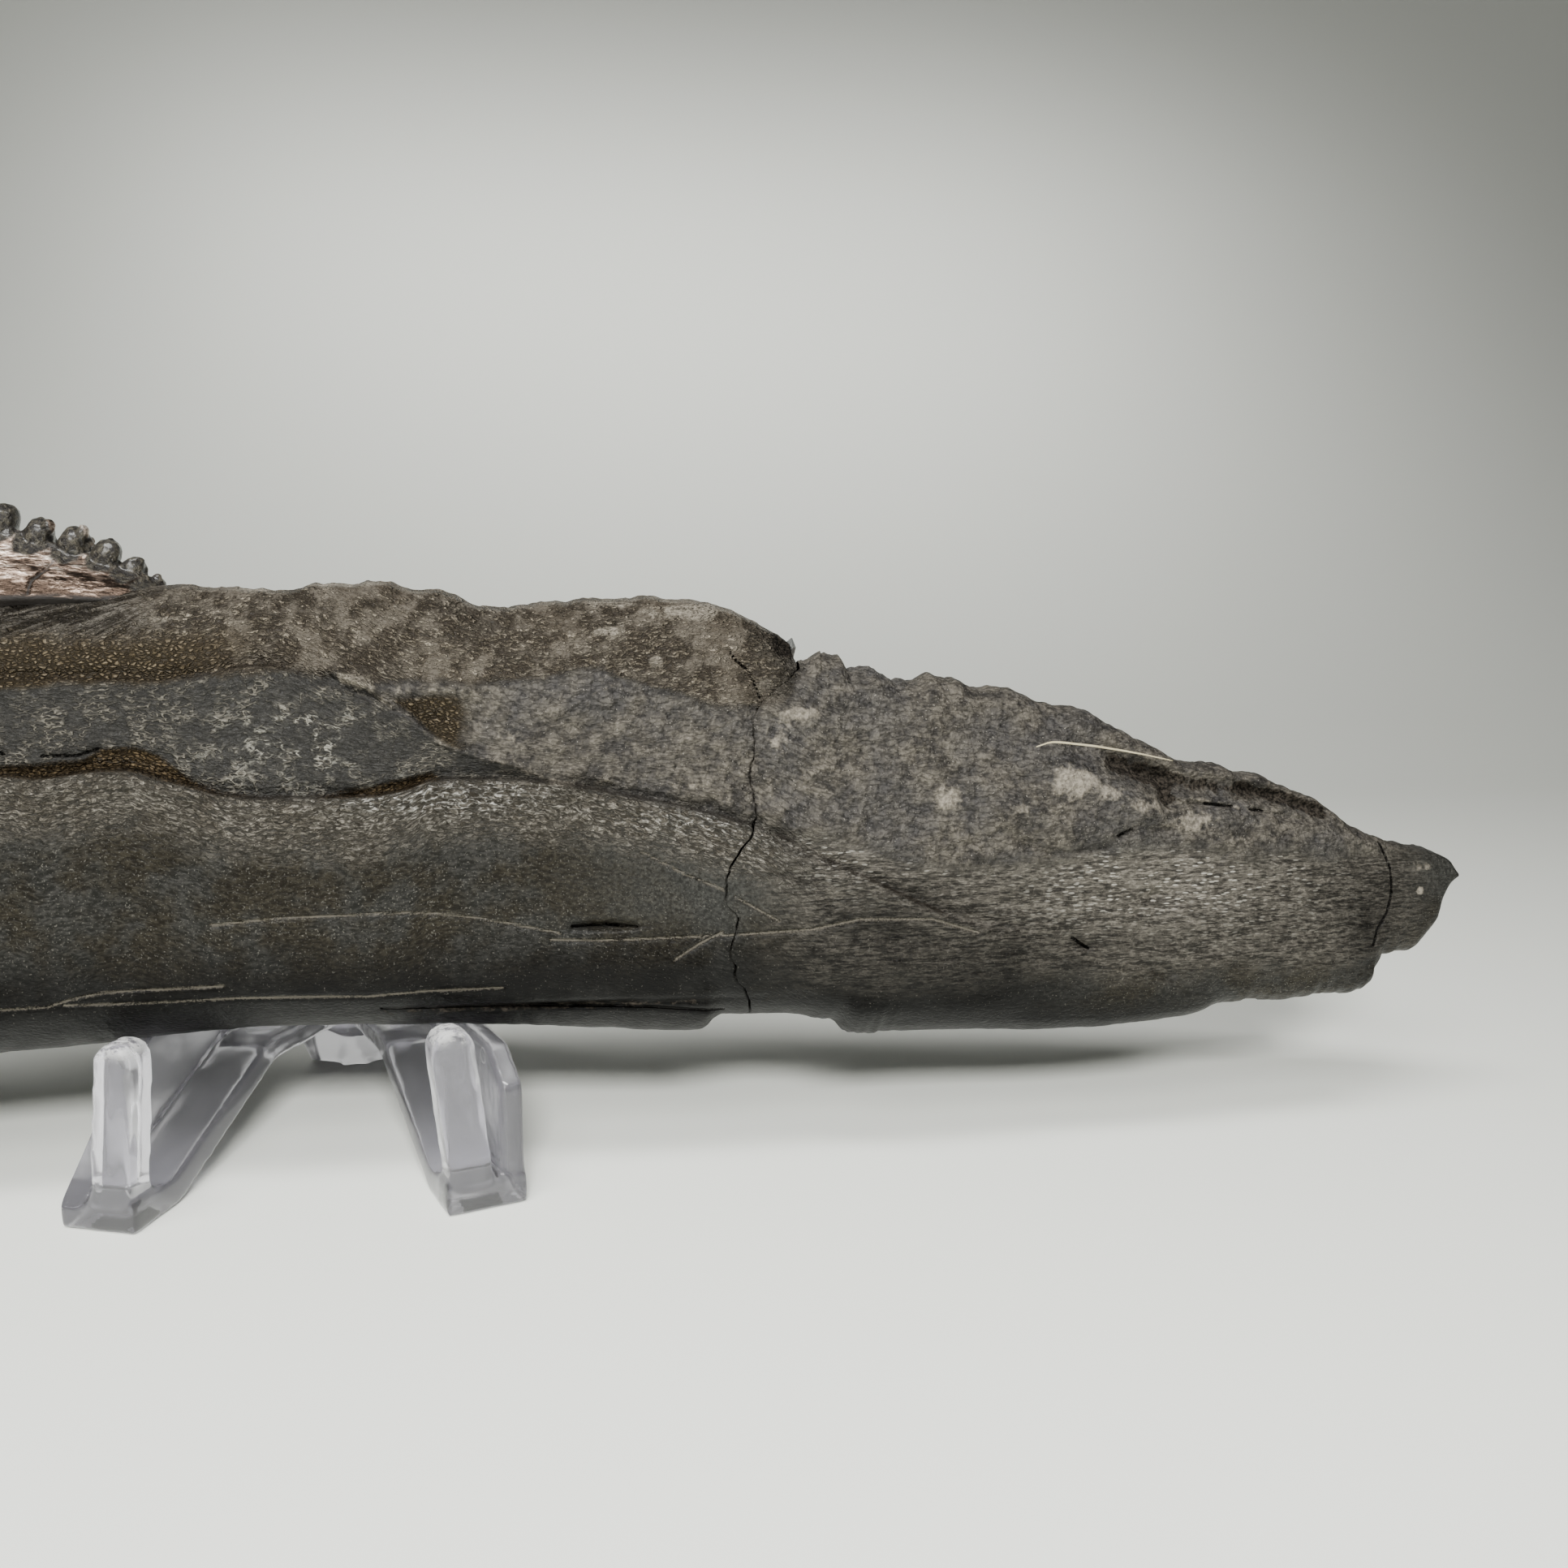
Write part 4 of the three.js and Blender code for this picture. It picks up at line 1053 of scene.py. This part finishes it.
for ring in EASEL_RINGS:
    away = plastic.node("ShaderNodeVectorMath", {"operation": "DISTANCE"}, {0: place, 1: ring}, 1)
    rings = abs(away - EASEL_RING_RADIUS).eased(0.00014, 0.00004) + rings
worn_top = plastic.measure("scuffed").eased(SCUFFED_ABOVE, SCUFFED_ALL) * scuffs.eased(0.36, 0.56)
white = worn_top * 0.8 + rings * 0.35 + scuffs.eased(0.66, 0.74) * 0.15
plastic.finish(
    base_color=plastic.blend(waves, (0.78, 0.765, 0.84), (0.86, 0.85, 0.91)),
    roughness=0.1 + 0.1 * scuffs.eased(0.4, 0.7),
    normal=plastic.raised(waves, 0.0002),
    transmission_weight=0.9,
    ior=1.45,
)
chalk = plastic.tree.nodes.new("ShaderNodeBsdfPrincipled")
plastic.feed(chalk.inputs["Base Color"], plastic.blend(scuffs, (0.8, 0.79, 0.78), (0.95, 0.95, 0.94)))
plastic.feed(chalk.inputs["Roughness"], 0.6 + 0.2 * scuffs)
mixed = plastic.tree.nodes.new("ShaderNodeMixShader")
plastic.feed(mixed.inputs[0], white.least(1))
plastic.tree.links.new(plastic.shader.outputs[0], mixed.inputs[1])
plastic.tree.links.new(chalk.outputs[0], mixed.inputs[2])
plastic.tree.links.new(mixed.outputs[0], plastic.tree.nodes["Material Output"].inputs["Surface"])
easel.data.materials.append(plastic.material)
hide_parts("clear_easel")

# The display's floor and backdrop: one pale matt sheet that rises in a curve behind the jaw, with painted
# shade that darkens it upwards, and broad soft lamps above it.
SHEET_FLAT_BACK = 0.24
SHEET_CURVE, SHEET_CURVE_STEPS = 0.3, 24
SHEET_HALF_WIDTH = 1.6
SHEET_FRONT = -1.6
SHEET_TOP = 1.4
# Heights in metres between which the painted shade on the sheet deepens, and the x where it is darkest
SHEET_DARKENS = (0.19, 0.31)
SHEET_DARKEST_X = 0.12

profile = [(SHEET_FRONT, 0), (SHEET_FLAT_BACK, 0)]
for step in range(1, SHEET_CURVE_STEPS + 1):
    turn = math.pi / 2 * step / SHEET_CURVE_STEPS
    profile.append((SHEET_FLAT_BACK + SHEET_CURVE * math.sin(turn), SHEET_CURVE * (1 - math.cos(turn))))
profile.append((SHEET_FLAT_BACK + SHEET_CURVE, SHEET_TOP))
sheet_mesh = bpy.data.meshes.new("backdrop_sheet")
sheet_points = [(side * SHEET_HALF_WIDTH, y, z) for y, z in profile for side in (-1, 1)]
sheet_faces = [(i, i + 1, i + 3, i + 2) for i in range(0, 2 * len(profile) - 2, 2)]
sheet_mesh.from_pydata(sheet_points, [], sheet_faces)
sheet_mesh.shade_smooth()
sheet = bpy.data.objects.new("backdrop_sheet", sheet_mesh)
sheet.location = FEET
bpy.context.scene.collection.objects.link(sheet)
paper = Surface("backdrop_paper")
place = paper.node("ShaderNodeTexCoord", {}, {}, "Object")
tone = paper.noise(place, 3, 1)
across, height = (paper.node("ShaderNodeSeparateXYZ", {}, {0: place}, axis) for axis in "XZ")
painted_shade = height.eased(*SHEET_DARKENS) * abs(across - SHEET_DARKEST_X).eased(0.45, 0.1)
pale = paper.blend(tone.eased(0.3, 0.7), (0.65, 0.662, 0.622), (0.685, 0.698, 0.656))
pale = paper.shade(pale, 1 - 0.32 * painted_shade)
sheet_mesh.materials.append(paper.finish(base_color=pale, roughness=0.6))


def soft_lamp(name, place, target, size, power, colour, spread, lit=None):
    """Area lamp at place, in metres from the feet, facing target. Its light opens by spread degrees and
    falls on everything, or only on what the collection lit holds."""
    lamp_data = bpy.data.lights.new(name, "AREA")
    lamp_data.shape = "RECTANGLE"
    lamp_data.size, lamp_data.size_y = size
    lamp_data.energy = power
    lamp_data.color = colour
    lamp_data.spread = math.radians(spread)
    lamp = bpy.data.objects.new(name, lamp_data)
    lamp.location = FEET + Vector(place)
    lamp.visible_camera = False
    lamp.rotation_mode = "QUATERNION"
    lamp.rotation_quaternion = (Vector(target) - Vector(place)).to_track_quat("-Z", "Y")
    lamp.light_linking.receiver_collection = lit
    bpy.context.scene.collection.objects.link(lamp)


backdrop = bpy.data.collections.new("backdrop_only")
backdrop.objects.link(sheet)
soft_lamp("lamp_front", (-0.1, -0.4, 0.4), (0.03, 0.03, 0.02), (0.24, 0.12), 0.55, (1, 1, 0.97), 100)
soft_lamp("lamp_above", (-0.06, -0.22, 0.55), (0.04, 0.04, 0), (0.4, 0.12), 1.1, (1, 1, 0.98), 90)
soft_lamp("lamp_floor", (0.03, -0.46, 0.3), (0.04, 0, 0), (0.16, 0.07), 2.2, (1, 1, 0.97), 100, backdrop)
soft_lamp(
    "lamp_backdrop", (0.08, 0.36, 0.29), (0.09, 0.51, 0.15), (0.42, 0.04), 0.3, (1, 1, 0.98), 110, backdrop)
world = bpy.data.worlds.new("pale_room")
world.use_nodes = True
world.node_tree.nodes["Background"].inputs["Color"].default_value = (0.82, 0.85, 0.84, 1)
world.node_tree.nodes["Background"].inputs["Strength"].default_value = 0.04
bpy.context.scene.world = world
